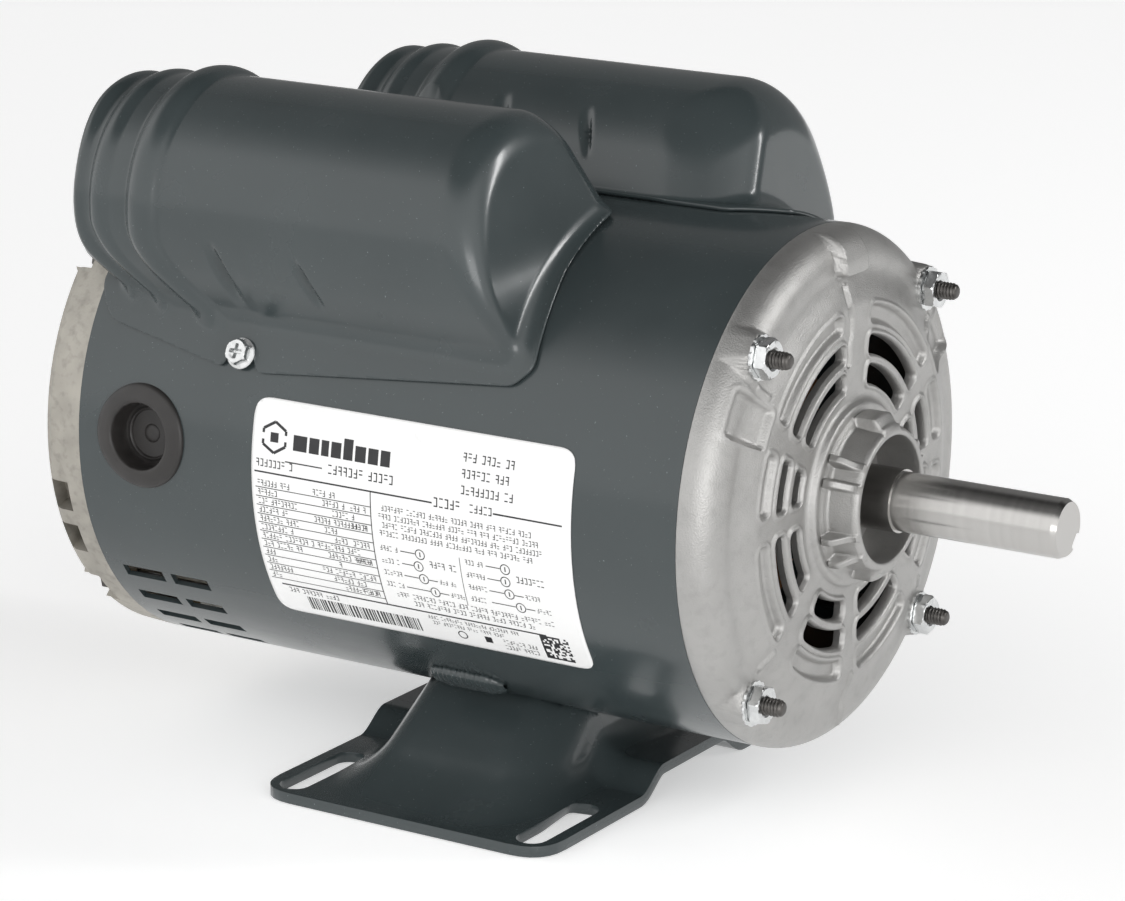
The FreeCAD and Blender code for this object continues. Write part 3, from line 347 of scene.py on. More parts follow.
# A cover is worked out in a frame of its own: x along the shaft, height from the shaft axis in the
# direction of COVER_CLOCK, and across, which grows down the outer side of the shell.
COVER_CLOCK = 60.5
COVER_FAR_SHIFT = 38.0
COVER_GAUGE = 1.15
COVER_SEAT = SHELL + 1.25  # radius of the outer face of the sheet lying on the shell
COVER_CENTRE = 75.6        # height up to which the hump's sides are straight
COVER_HALF = 33.3
COVER_REAR = -117.0
REAR_SKEW = 3.4            # how much further forward the rear stands on the outer side
REAR_TUCK = 8.6            # and how much further forward at its foot
FLANGE_REAR = -109.7
FLANGE_CORNER = 2.2
# Each front: where it crosses height 85, its slope, and the radius of its upper edge.
NEAR_FRONT = (21.3, 0.27, 8.0)
FAR_FRONT = (13.0, 0.15, 14.0)
FRONT_HEIGHT = 85
FRONT_EDGE = 4
# Each lobe: its middle, the radius of its crest, and the half width at the crest.
LOBES = ((-86.5, 7.0, 35.5), (-101.8, 5.0, 33.0), (-112.0, 5.0, 31.5))
MAIN_START = -84.0
SCREW_X = -57.9
SCREW_ACROSS = 40.7
SCREW_ROOM = 6.4
SCREW_LEAN = math.degrees(math.asin(SCREW_ACROSS / SHELL))
# Each dimple: its two ends as (x, height), its half width and its depth.
DIMPLES = (((-64.4, 87.0), (-59.6, 70.0), 2.3, 2.3), ((-37.0, 86.0), (-32.0, 72.5), 1.7, 1.9))
# Rays that find the cover start on a line at this height, between these two x.
FAN_HEIGHT = 50.0
FAN_REAR = -95.0
FAN_FRONT = 0.0
FAN_REACH = 95


def lobed_half(x):
    """Half width of the hump: a straight main run, then three lobes towards the rear end."""
    half = np.where(x > MAIN_START, COVER_HALF, 32.2 - 1.8 * ramp(-x, 100, 108))
    for middle, roundness, top in LOBES:
        arc = np.sqrt(np.maximum(roundness ** 2 - (x - middle) ** 2, 0))
        half = np.maximum(half, np.where(arc > 0, top - roundness + arc, 0))
    return half


def cover_solid(x, across, height, front_shape):
    """Signed distance, roughly, to a cover: the hump and the seat on the shell, filleted together."""
    outer_side = ramp(across, 5, 25)
    lean = 17 * outer_side * np.clip((88 - height) / 26, 0, 1.1) ** 1.5
    half = lobed_half(np.where(x < -40, x - lean, x))
    for (x0, h0), (x1, h1), width, depth in DIMPLES:
        run = np.hypot(x1 - x0, h1 - h0)
        part = ((x - x0) * (x1 - x0) + (height - h0) * (h1 - h0)) / run ** 2
        off = ((x - x0) * (h1 - h0) - (height - h0) * (x1 - x0)) / run
        half = half - depth * bump(part, 0.5, 0.62) * bump(off, 0, width) * (np.abs(across) > 20)
    section = np.where(height > COVER_CENTRE, np.hypot(across, height - COVER_CENTRE),
                       np.abs(across)) - half
    front_x, slope, crown = front_shape
    recess = 0.09 * np.maximum(-across - 19, 0) ** 2
    front = (x - front_x - slope * (FRONT_HEIGHT - height) + recess) / 1.04
    corner = FRONT_EDGE + (crown - FRONT_EDGE) * ramp(height, 72, 98)
    hump = round_both(section, front, corner)
    rear = COVER_REAR + REAR_SKEW * ramp(across, -6, 22) + REAR_TUCK * (1 - ramp(height, 66, 76))
    hump = round_both(hump, rear - x, 5.0)
    screw_room = SCREW_ROOM - np.hypot(x - SCREW_X, SCREW_ACROSS - across)
    hump = round_both(hump, np.where(across > 20, screw_room, -FAR_OFF), 2.0)
    seat = np.hypot(across, height) - COVER_SEAT
    fillet = 3.0 + 1.0 * ramp(x, 2, 16)
    fillet = 0.5 + (fillet - 0.5) * ramp(across, -31, -22) * ramp(x, -107, -98)
    return round_either(hump, seat, fillet)


def cover_outline():
    """Edge of the cover's flange as (x, across), with the notch under its screw."""
    edge = [(FLANGE_REAR, 30.0), (-106.5, 35.0), (-103.0, 38.4), (-63.5, 44.9), (-62.2, 42.0),
            (-57.9, 40.4), (-53.6, 42.0), (-52.3, 45.0), (27.0, 38.8), (31.8, 34.0), (28.4, 5.2),
            (27.5, -22.0), (14.0, -33.7), (FLANGE_REAR, -33.7)]
    return rounded_outline(edge, FLANGE_CORNER)


def make_cover(name, node, shift, mirror, front_shape):
    """One cover: a fan of rays to its rear, upright rays along it and a fan to its front."""
    steps = [(FAN_REAR, angle) for angle in np.arange(-50, 0, 0.7)]
    steps += [(x, 0.0) for x in np.concatenate([np.arange(FAN_REAR, -26, 0.7),
                                                np.arange(-26, FAN_FRONT, 1.6)])]
    steps += [(FAN_FRONT, angle) for angle in np.arange(0, 66, 0.9)]
    turns = np.radians(np.arange(-70, 87, 0.9))
    origin = []
    direction = []
    for x, angle in steps:
        lean = math.radians(angle)
        for turn in turns:
            origin.append((x, 0.0, FAN_HEIGHT))
            direction.append((math.sin(lean), math.cos(lean) * math.sin(turn),
                              math.cos(lean) * math.cos(turn)))
    points = cast(np.array(origin), np.array(direction),
                  lambda x, across, height: cover_solid(x, across, height, front_shape), FAN_REACH)
    # The hump overhangs its flange at the rear, and the overhang is kept.
    overhang = FLANGE_REAR - COVER_REAR + 0.5
    overhang = overhang * ramp(points[:, 2], 71.8, 76) * ramp(-points[:, 0], 95, 105)
    plan = np.column_stack([points[:, 0] + overhang, points[:, 1]])
    nearest, inside = to_outline(plan, cover_outline())
    height = np.sqrt(np.maximum(COVER_SEAT ** 2 - nearest[:, 1] ** 2, 0))
    points = np.where(inside[:, None], points, np.column_stack([nearest, height]))
    faces = [face for face in grid_faces(len(steps), len(turns)) if inside[list(face)].any()]
    turn = math.radians(COVER_CLOCK)
    placed = np.column_stack([
        points[:, 0] + shift,
        mirror * (-points[:, 2] * math.cos(turn) - points[:, 1] * math.sin(turn)),
        points[:, 2] * math.sin(turn) - points[:, 1] * math.cos(turn)])
    piece(name, placed, faces, "paint", node, sharp=50,
          away_from=(shift - 40, mirror * -20, 36), thickness=COVER_GAUGE)


# ---------------------------------------------------------------- base

SHEET = 3.0
BASE_HALF = (46.0, 77.4)
BASE_CORNER = 11
SLOT_PLACE = (38.1, 57.5)
SLOT_END = 4.365         # radius of a slot's round ends
SLOT_HALF_LENGTH = 17.0
SADDLE_HEIGHT = 34.0
SADDLE_TOP = 36.0        # a little above where the shell cuts the saddle off
SHELL_SINK = 0.3         # how deep the saddle's edge reaches into the shell


def base_solid(x, y, z):
    """The stamped base, z from its underside: a plate with a hollow saddle drawn up from it."""
    middle = 1 - ramp(np.abs(y), 16, 28)
    plate = z - SHEET - 6.0 * middle
    width = np.abs(x) - (29.0 - 5.0 * z / SADDLE_HEIGHT)
    depth = (np.abs(y) - (63.0 - 1.33 * (z - SHEET))) * 0.6
    saddle = round_both(width, depth, 13.0)
    saddle = round_both(saddle, z - SADDLE_TOP, 2.0)
    return round_either(saddle, plate, 8.0)


def slot_outline(along, across):
    """One foot slot: two half circles and the straight sides between them."""
    turn = np.radians(np.arange(0, 180, 9))
    run = SLOT_HALF_LENGTH - SLOT_END
    return np.concatenate([
        np.column_stack([along + side * SLOT_END * np.cos(turn),
                         across + side * run + side * SLOT_END * np.sin(turn)]) for side in (1, -1)])


def make_base():
    fine = np.arange(-33, -21, 0.4)
    x_lines = np.concatenate([np.arange(-48, -33, 1.1), fine, np.arange(-21, 21.1, 2.1), -fine[::-1],
                              np.arange(33.6, 48.5, 1.1)])
    y_lines = np.arange(-79, 79.1, 1.25)
    across, along = np.meshgrid(y_lines, x_lines)
    plan = np.column_stack([along.ravel(), across.ravel()])
    half_x, half_y = BASE_HALF
    outline = rounded_outline([(-half_x, -half_y), (half_x, -half_y), (half_x, half_y),
                               (-half_x, half_y)], BASE_CORNER)
    nearest, inside = to_outline(plan, outline)
    plan = np.where(inside[:, None], plan, nearest)
    keep = inside.copy()
    for along_side in (-1, 1):
        for across_side in (-1, 1):
            hole = slot_outline(SLOT_PLACE[0] * along_side, SLOT_PLACE[1] * across_side)
            nearest, within = to_outline(plan, hole)
            plan = np.where(within[:, None], nearest, plan)
            keep &= ~within
    start = np.column_stack([plan, np.full(len(plan), -5.0)])
    up = np.tile([0.0, 0.0, 1.0], (len(plan), 1))
    points = cast(start, up, base_solid, 50)
    seat = AXIS_HEIGHT - np.sqrt(np.maximum((SHELL - SHELL_SINK) ** 2 - points[:, 1] ** 2, 0))
    seat = np.where(np.abs(points[:, 1]) < 60, seat, FAR_OFF)
    points[:, 2] = np.minimum(points[:, 2], seat) - AXIS_HEIGHT
    faces = [face for face in grid_faces(len(x_lines), len(y_lines)) if keep[list(face)].any()]
    piece("stamped_base", points, faces, "paint", "mounting_base", sharp=60,
          away_from=(0, 0, -200), thickness=2.98, bevel=0.5)


def wobble(*values):
    """Repeatable unevenness of about -1 to 1 for the weld beads."""
    total = 0
    for scale, turn in ((1.0, 0.3), (2.3, 1.9), (4.7, 4.1)):
        wave = sum(np.sin(value * scale * (1 + 0.37 * index) + turn * (index + 1))
                   for index, value in enumerate(values))
        total = total + wave / scale / len(values)
    return total / 1.7


WELD_CLOCK = -53.5
WELD_HALF_LENGTH = 11.6
WELD_HALF_HEIGHT = 2.6
WELD_HALF_WIDTH = 5.2
WELD_ROWS = 60
WELD_COLUMNS = 28


def make_welds():
    """A bead on each side, where the top of the saddle meets the shell."""
    parts = []
    for mirror in (1, -1):
        along = np.linspace(0.1 - WELD_HALF_LENGTH, WELD_HALF_LENGTH - 0.1, WELD_ROWS)
        around = np.linspace(0, 2 * math.pi, WELD_COLUMNS, endpoint=False)
        x, turn = np.meshgrid(along, around, indexing="ij")
        end = np.sqrt(np.clip(1 - (np.abs(x) / WELD_HALF_LENGTH) ** 6, 0, 1))
        size = 1 + 0.13 * wobble(x * 1.1, turn * 2) + 0.05 * np.sin(x * 4.2)
        out = SHELL + 0.4 + WELD_HALF_HEIGHT * end * size * np.sin(turn)
        arc = WELD_HALF_WIDTH * end * size * np.cos(turn)
        clock = np.radians(WELD_CLOCK) + arc / SHELL
        points = np.stack([x, -mirror * out * np.cos(clock), out * np.sin(clock)], axis=-1)
        points = points.reshape(-1, 3)
        faces = grid_faces(WELD_ROWS, WELD_COLUMNS, closed=True)
        if mirror < 0:
            faces = [tuple(reversed(face)) for face in faces]
        parts.append((points, faces))
    points, faces = join(parts)
    piece("weld_beads", points, faces, "paint", "base_welds", sharp=80)


# ---------------------------------------------------------------- drive-end bell

FACE = 90.0           # x of the flat outer part of the face
DOME = 93.0           # x of the raised inner part
CORNER = 9.0          # radius of the edge between face and rim
BELL_COLUMNS = 600
# Windows: clock angles of each pair, and inner radius, outer radius and inset of its two slots.
WINDOW_SECTORS = ((5.5, 25), (35.5, 80.5), (99.5, 144.5), (155, 174.5), (184, 217.5), (231, 264.5),
                  (275.5, 309), (322.5, 356))
WINDOW_RINGS = ((29.2, 34.2, 1.6), (37.0, 42.0, 0.0))
WINDOW_CORNER = 1.5
WINDOW_DEPTH = 2.6
POCKET_RING = (45.3, 50.2)
HUB_RIBS = (21, 38, 142, 159, 200, 222, 318, 340)
HUB_PADS = ((77, 103), (258, 282))
BOLT_CIRCLE = 65.0
BOLT_CLOCKS = (45, 135, 225, 315)
HOOD_HALF = 7.4       # the hood is the boss at the top of the face
HOOD_FOOT = 58.0
# Ridges and pockets as (inner radius, outer radius, first clock, last clock).
SMALL_RIDGES = ((55.5, 60.5, 38.4, 39.6), (55.5, 60.5, 140.4, 141.6), (50.5, 66.0, 267.3, 268.3),
                (52.0, 58.0, 319.5, 320.6), (52.0, 58.0, 219.4, 220.5), (50.5, 56.5, 86.2, 87.2))
FACET_POCKETS = ((53.0, 66.5, 25.2, 36.2), (53.0, 66.5, 143.8, 154.8))


def ring_slot(radius, clock, low, high, first, last, corner):
    """Signed distance to part of a ring between two clock angles, with rounded corners."""
    middle = (low + high) / 2
    swing = np.abs((clock - (first + last) / 2 + 180) % 360 - 180)
    across = np.abs(radius - middle) - (high - low) / 2 + corner
    along = np.radians(swing - (last - first) / 2) * middle + corner
    return (np.hypot(np.maximum(across, 0), np.maximum(along, 0))
            + np.minimum(np.maximum(across, along), 0) - corner)


def window_distance(radius, clock):
    """Signed distance to the nearest window."""
    best = np.full(np.shape(radius), FAR_OFF)
    for first, last in WINDOW_SECTORS:
        for low, high, inset in WINDOW_RINGS:
            slot = ring_slot(radius, clock, low, high, first + inset, last - inset, WINDOW_CORNER)
            best = np.minimum(best, slot)
    return best


def bell_relief(radius, clock):
    """Height of the cast detail over the plain turned face."""
    window = window_distance(radius, clock)
    height = 0.75 * bump(window, 0.9, 1.0) - 0.8 * (1 - ramp(window, -0.1, 0.5))
    for first, last in WINDOW_SECTORS:
        pocket = ring_slot(radius, clock, *POCKET_RING, first, last, 1.8)
        height = height - 1.7 * (1 - ramp(pocket, -1.0, 0.3)) + 0.45 * bump(pocket, 0.8, 0.8)
    for low, high, first, last in FACET_POCKETS:
        facet = ring_slot(radius, clock, low, high, first, last, 0.8)
        height = height - (1.2 + 1.1 * ramp(radius, low, high)) * (1 - ramp(facet, -1.0, 0.2))
        height = height + 0.5 * bump(facet, 0.7, 0.7)
    for low, high, first, last in SMALL_RIDGES:
        ridge = ring_slot(radius, clock, low, high, first, last, 0.3)
        height = height + 0.7 * (1 - ramp(ridge, -0.3, 0.7))
    # A crooked groove runs up the top spoke.
    groove_middle = -3.2 + 1.0 * ramp(radius, 40, 44) - 1.2 * ramp(radius, 47, 52)
    off_groove = np.abs(-radius * np.cos(np.radians(clock)) - groove_middle) - 1.0
    on_spoke = (clock > 60) & (clock < 120) & (radius > 35) & (radius < 56.5)
    return height - 1.3 * (1 - ramp(off_groove, -0.7, 0.4)) * on_spoke


def bell_profile():
    """Outline of the turned casting as (x, radius) from the shell joint in to the shaft hole."""
    line = [(80.45, SHELL - 0.1), (80.8, SHELL)]
    for turn in np.radians(np.arange(0, 91, 6)):
        line.append((FACE - CORNER + CORNER * math.sin(turn), SHELL - CORNER * (1 - math.cos(turn))))
    line += [(DOME - (DOME - FACE) * float(ramp(radius, 50.0, 60.5)), radius)
             for radius in np.arange(61.0, 26.6, -0.4)]
    line += [(93.05, 26.2), (93.3, 25.4), (94.0, 24.9), (94.8, 24.6), (95.2, 24.2), (95.3, 23.6),
             (95.3, 22.8), (95.4, 22.2), (95.8, 21.6), (96.0, 21.0), (96.2, 20.4)]
    line += [(x, 19.9 - 0.1 * (x - 96.6)) for x in np.arange(96.6, 103.7, 0.4)]
    line += [(104.3, 18.75), (104.65, 18.4), (104.7, 18.0), (104.7, 17.5), (104.55, 17.15), (104.2, 17.0)]
    line += [(x, 17.0) for x in (102.0, 98.0, 94.0, 91.6)]
    line += [(91.5, 16.6), (91.5, 14.0), (91.4, 12.3), (91.1, 12.0), (88.1, 12.0)]
    return np.array(line)


def make_drive_bell():
    """The outline swept round, pierced by windows and raised by ribs, bosses and the hood."""
    line = bell_profile()
    clocks = np.arange(BELL_COLUMNS) * 360 / BELL_COLUMNS
    x = np.repeat(line[:, 0], BELL_COLUMNS)
    radius = np.repeat(line[:, 1], BELL_COLUMNS)
    clock = np.tile(clocks, len(line))
    # Points inside a window are moved out to its edge, so that the mesh follows it.
    distance = window_distance(radius, clock)
    in_window = (distance < 0) & (x > FACE)
    step = 0.02
    out = (window_distance(radius + step, clock) - distance) / step
    turn = (window_distance(radius, clock + np.degrees(step / radius)) - distance) / step
    radius = radius - np.where(in_window, distance * out, 0)
    clock = clock - np.where(in_window, np.degrees(distance * turn / radius), 0)
    face = (radius > 26.4) & (x > FACE - CORNER)
    lift = np.where(face, bell_relief(radius, clock), 0)
    lean = np.clip((radius - (SHELL - CORNER)) / CORNER, 0, 1)
    x = x + lift * np.sqrt(1 - lean ** 2)
    radius = radius + np.where(face, lift * lean, 0)
    hood_side = np.abs(radius * np.cos(np.radians(clock))) - HOOD_HALF
    hood_foot = HOOD_FOOT - radius * np.sin(np.radians(clock))
    hood = round_both(hood_side, hood_foot, 2.5)
    hood_top = FACE - 5.8 + np.sqrt(np.maximum(81 - np.maximum(radius - 61.5, 0) ** 2, 0))
    x = np.where(face, np.maximum(x, hood_top - 16 * ramp(hood, -1.4, 0.9)), x)
    for middle in BOLT_CLOCKS:
        swing = np.radians(clock - middle)
        away = np.hypot(radius * np.cos(swing) - BOLT_CIRCLE, radius * np.sin(swing))
        x = np.where(face, np.maximum(x, FACE - 13 * ramp(away, 6.1, 7.6)), x)
    wall = (x > 95.5) & (radius > 18.6) & (radius < 22.5)
    raised = [(middle, 0.0, (0.7, 1.5), 23.2 - 3.4 * ramp(x, 97.5, 103.5)) for middle in HUB_RIBS]
    raised += [((first + last) / 2, math.radians(last - first) / 2, (-0.6, 0.5),
                22.6 - 2.6 * ramp(x, 101.0, 103.8)) for first, last in HUB_PADS]
    for middle, half, edge, tip in raised:
        swing = np.abs(np.radians((clock - middle + 180) % 360 - 180))
        share = 1 - ramp((swing - half) * 20, *edge)
        radius = np.where(wall, np.maximum(radius, radius + (tip - radius) * share), radius)
    turn = np.radians(clock)
    points = np.column_stack([x, -radius * np.cos(turn), radius * np.sin(turn)])
    faces = [face for face in grid_faces(len(line), BELL_COLUMNS, closed=True)
             if not in_window[list(face)].all()]
    # Edges with a face on one side only are window rims; each gets a wall going in.
    edges = Counter(tuple(sorted(pair)) for face in faces for pair in zip(face, face[1:] + face[:1]))
    points = list(points)
    deeper = {}
    for (start, end), uses in edges.items():
        if uses == 1 and in_window[start] and in_window[end]:
            for vertex in (start, end):
                if vertex not in deeper:
                    deeper[vertex] = len(points)
                    points.append(np.array([DOME - WINDOW_DEPTH, *points[vertex][1:]]))
            faces.append((start, end, deeper[end], deeper[start]))
    piece("drive_bell_casting", points, faces, "cast_drive", "drive_end_bell", sharp=70,
          away_from=(60, 0, 0))


# ---------------------------------------------------------------- fasteners

def ring_stack(rings, columns, place):
    """A turned or hexagonal form from rings of (height, radius of each column), put in place."""
    turn = np.arange(columns) * 2 * math.pi / columns
    points = []
    for height, radius in rings:
        radius = radius(turn) if callable(radius) else np.full(columns, float(radius))
        points.append(place(np.full(columns, float(height)), radius * np.cos(turn),
                            radius * np.sin(turn)))
    return np.concatenate(points), grid_faces(len(rings), columns, closed=True)


def hexagon(half_flats, limit=FAR_OFF):
    """Radius of a hexagon by angle, its corners cut off at a limit."""
    def radius(turn):
        swing = (turn + math.pi / 6) % (math.pi / 3) - math.pi / 6
        return np.minimum(half_flats / np.cos(swing), limit)
    return radius


def on_bolt(clock):
    """Puts a form on a through bolt's line."""
    def place(height, first, second):
        return on_clock(height, first, BOLT_CIRCLE + second, clock)
    return place


THREAD_PITCH = 0.95
THREAD_DEPTH = 0.42
BOLT_RADIUS = 2.4
STUD_TIP = 99.2
TIP_LENGTH = 2.0
BOLT_SEAT = -117.0  # where the heads bear on the rear bell
WASHER_TEETH = 16
SCREW_HEAD = 3.4


def thread(x):
    """Radius of a bolt's helical thread by angle at one x, tapered at the tip."""
    def shape(turn):
        groove = 0.5 + 0.5 * np.cos(2 * math.pi * x / THREAD_PITCH - turn)
        end = max((x - STUD_TIP + TIP_LENGTH) / TIP_LENGTH, 0)
        taper = 0.45 + 0.55 * math.sqrt(max(1 - end ** 2, 0))
        return (BOLT_RADIUS - THREAD_DEPTH * groove * (1 - end)) * taper
    return shape


def toothed(turn):
    return 5.95 + 0.12 * np.clip(2.2 * np.sin(turn * WASHER_TEETH), -1, 1)


def make_fasteners():
    """Nuts, toothed washers and threaded bolts of the four through bolts."""
    nuts, washers, bolts = [], [], []
    for clock in BOLT_CLOCKS:
        place = on_bolt(clock)
        low, high = FACE + 0.9, FACE + 4.2
        nuts.append(ring_stack([
            (low, 2.45), (low, 4.6), (low + 0.15, hexagon(4.7, 5.2)), (low + 0.5, hexagon(4.75)),
            (high - 0.5, hexagon(4.75)), (high - 0.2, hexagon(4.75, 5.15)), (high, hexagon(4.7, 4.75)),
            (high, 3.1), (high - 0.35, 2.5), (low, 2.45)], 72, place))
        washers.append(ring_stack([
            (FACE + 0.02, 2.5), (FACE + 0.02, toothed), (FACE + 0.75, toothed), (FACE + 0.88, 5.0),
            (FACE + 0.88, 2.5), (FACE + 0.02, 2.5)], 128, place))
        head = hexagon(4.0)
        rings = [(BOLT_SEAT - 3.2, 0.01), (BOLT_SEAT - 3.2, 2.6), (BOLT_SEAT - 3.0, 3.6),
                 (BOLT_SEAT - 2.8, head), (BOLT_SEAT, head), (BOLT_SEAT, BOLT_RADIUS),
                 (84.0, BOLT_RADIUS)]
        rings += [(x, thread(x)) for x in np.arange(84.2, STUD_TIP + 0.01, 0.12)]
        rings.append((STUD_TIP, 0.01))
        bolts.append(ring_stack(rings, 36, place))
    for name, parts, slot, node, sharp in (
            ("serrated_nuts", nuts, "zinc", "through_bolt_nuts", 30),
            ("toothed_washers", washers, "zinc", "nut_lock_washers", 30),
            ("threaded_bolts", bolts, "stud_steel", "through_bolts", 55)):
        points, faces = join(parts)
        piece(name, points, faces, slot, node, sharp=sharp)


def make_cover_screws():
    """One hexagon screw for each cover, with a washer face and a cross recess."""
    parts = []
    for shift, clock in ((0.0, COVER_CLOCK - SCREW_LEAN),
                         (COVER_FAR_SHIFT, 180 - COVER_CLOCK + SCREW_LEAN)):
        def place(height, first, second, shift=shift, clock=clock):
            return on_clock(SCREW_X + shift + first, second, COVER_SEAT + height, clock)
        rings = [(-2.6, 0.01), (-2.6, 1.9), (0.0, 2.0), (0.0, 4.3), (0.45, 4.38), (0.75, 4.2),
                 (0.95, 3.6), (1.1, hexagon(3.1)), (2.9, hexagon(3.15)), (3.25, hexagon(3.1, 3.3)),
                 (SCREW_HEAD, 3.0)]
        columns = 96
        points, faces = ring_stack(rings, columns, place)
        turn = np.arange(columns) * 2 * math.pi / columns
        radii = np.append(np.arange(2.85, 0.1, -0.13), 0.01)
        top = []
        for radius in radii:
            first, second = radius * np.cos(turn), radius * np.sin(turn)
            arm = np.minimum(np.abs(first), np.abs(second))
            recess = 1.5 * (1 - ramp(arm, 0.3, 0.55)) * (1 - ramp(radius, 1.5, 2.1))
            dish = 0.25 * (1 - ramp(radius, 1.2, 2.7))
            top.append(place(SCREW_HEAD - dish - recess, first, second))
        top = np.concatenate(top)
        first_top = len(points)
        faces += [tuple(first_top + index for index in face)
                  for face in grid_faces(len(radii), columns, closed=True)]
        last_ring = first_top - columns
        faces += [(last_ring + j, last_ring + (j + 1) % columns,
                   first_top + (j + 1) % columns, first_top + j) for j in range(columns)]
        parts.append((np.concatenate([points, top]), faces))
    points, faces = join(parts)
    piece("hex_washer_screws", points, faces, "zinc", "cover_screws", sharp=32)


# ---------------------------------------------------------------- conduit plug and nameplate

PLUG_X = -88.4
PLUG_CLOCK = 3.5
# (radius, height over the shell) from the rim of the flange in to the middle of the cup.
PLUG_PROFILE = ((14.5, 0.0), (14.45, 0.5), (14.2, 0.95), (13.6, 1.25), (12.5, 1.5), (11.2, 1.75),
                (10.2, 1.85), (9.7, 1.8), (9.35, 1.5), (9.15, 1.0), (9.1, 0.3), (9.0, -2.5),
                (8.9, -4.2), (8.6, -4.8), (7.9, -4.95), (7.5, -4.9), (7.3, -4.3), (7.0, -4.2),
                (6.7, -4.4), (6.5, -5.0), (5.0, -5.1), (2.6, -5.1), (2.3, -4.7), (1.2, -4.6),
                (0.01, -4.6))


def make_plug():
    """The closure of the conduit hole; its flange follows the shell and its cup stays flat."""
    def place(height, first, second):
        flange = ramp(np.hypot(first, second), 7.5, 9.4)
        fall = np.sqrt(SHELL ** 2 - second ** 2) - SHELL
        return on_clock(PLUG_X + first, second, SHELL + height + fall * flange, PLUG_CLOCK)
    points, faces = ring_stack([(height, radius) for radius, height in PLUG_PROFILE], 96, place)
    piece("conduit_closure", points, faces, "plug_plastic", "conduit_plug", sharp=50,
          away_from=(PLUG_X, -20, 0))


PLATE_REAR = -51.0
PLATE_TOP_CLOCK = 17.0
PLATE_LONG = 100.6
PLATE_TALL = 65.1
PLATE_CORNER = 5.0
PLATE_GAUGE = 0.25
PLATE_LIFT = 0.3
INK_LIFT = 0.325
PLATE_COLUMNS = 70
PLATE_ROWS = 60
RING_SIDES = 28
DIAGRAM_PITCH = 3.7


def on_plate(along, down, lift):
    """Points of the nameplate from millimetres along it and down it."""
    clock = math.radians(PLATE_TOP_CLOCK) - np.asarray(down, float) / SHELL
    out = SHELL + lift
    return np.stack([PLATE_REAR + np.asarray(along, float), -out * np.cos(clock),
                     out * np.sin(clock)], axis=-1)


class Print:
    """Flat marks printed on the nameplate."""

    def __init__(self):
        self.parts = []

    def patch(self, corners):
        """A filled quad, divided downwards so that it bends with the plate."""
        corners = np.array(corners, float)
        steps = max(1, int(np.ptp(corners[:, 1]) / 2.0))
        part = np.linspace(0, 1, steps + 1)[:, None]
        left = corners[0] + (corners[3] - corners[0]) * part
        right = corners[1] + (corners[2] - corners[1]) * part
        plan = np.concatenate([left, right])
        faces = [(k, steps + 1 + k, steps + 2 + k, k + 1) for k in range(steps)]
        self.parts.append((on_plate(plan[:, 0], plan[:, 1], INK_LIFT), faces))

    def box(self, left, top, right, bottom):
        self.patch([(left, top), (right, top), (right, bottom), (left, bottom)])

    def rule(self, left, top, right, weight=0.28):
        self.box(left, top, right, top + weight)

    def line(self, start, end, weight=0.28):
        start, end = np.array(start, float), np.array(end, float)
        side = np.array([start[1] - end[1], end[0] - start[0]]) / np.hypot(*(end - start)) * weight / 2
        self.patch([start + side, end + side, end - side, start - side])

    def ring(self, along, down, radius, weight):
        turn = np.linspace(0, 2 * math.pi, RING_SIDES, endpoint=False)
        rings = [np.column_stack([along + size * np.cos(turn), down + size * np.sin(turn)])
                 for size in (radius, radius - weight)]
        plan = np.concatenate(rings)
        self.parts.append((on_plate(plan[:, 0], plan[:, 1], INK_LIFT),
                           grid_faces(2, RING_SIDES, closed=True)))

    def marks(self, left, top, right, size, seed):
        """A run of small bars that looks like a line of print from afar and spells nothing."""
        draw = np.random.default_rng(seed)
        place = left
        while place < right:
            for _ in range(int(draw.integers(3, 9))):
                if place > right:
                    break
                for level in draw.permutation([0.0, 0.43, 0.86])[:2] * size + top:
                    self.box(place, level, place + 0.44 * size, level + 0.14 * size)
                if draw.random() < 0.7:
                    self.box(place + 0.3 * size, top, place + 0.44 * size, top + size)
                place += 0.66 * size
            place += 0.55 * size


def print_diagram(ink, left, top, rows, seed):
    """A small wiring diagram: rows of marks and ringed bars with lines between them."""
    for index, (offset, has_line) in enumerate(rows):
        down = top + index * DIAGRAM_PITCH
        ink.marks(left, down - 0.8, left + 5.6, 1.5, seed + index)
        ring_at = left + 12.0 + offset
        ink.ring(ring_at, down, 1.55, 0.28)
        ink.box(ring_at - 0.18, down - 0.7, ring_at + 0.18, down + 0.7)
        ink.line((left + 6.4, down), (ring_at - 1.6, down))
        if has_line:
            ink.line((ring_at + 1.6, down), (ring_at + 4.4, down))
            ink.marks(ring_at + 5.0, down - 0.8, ring_at + 9.6, 1.4, seed + 20 + index)


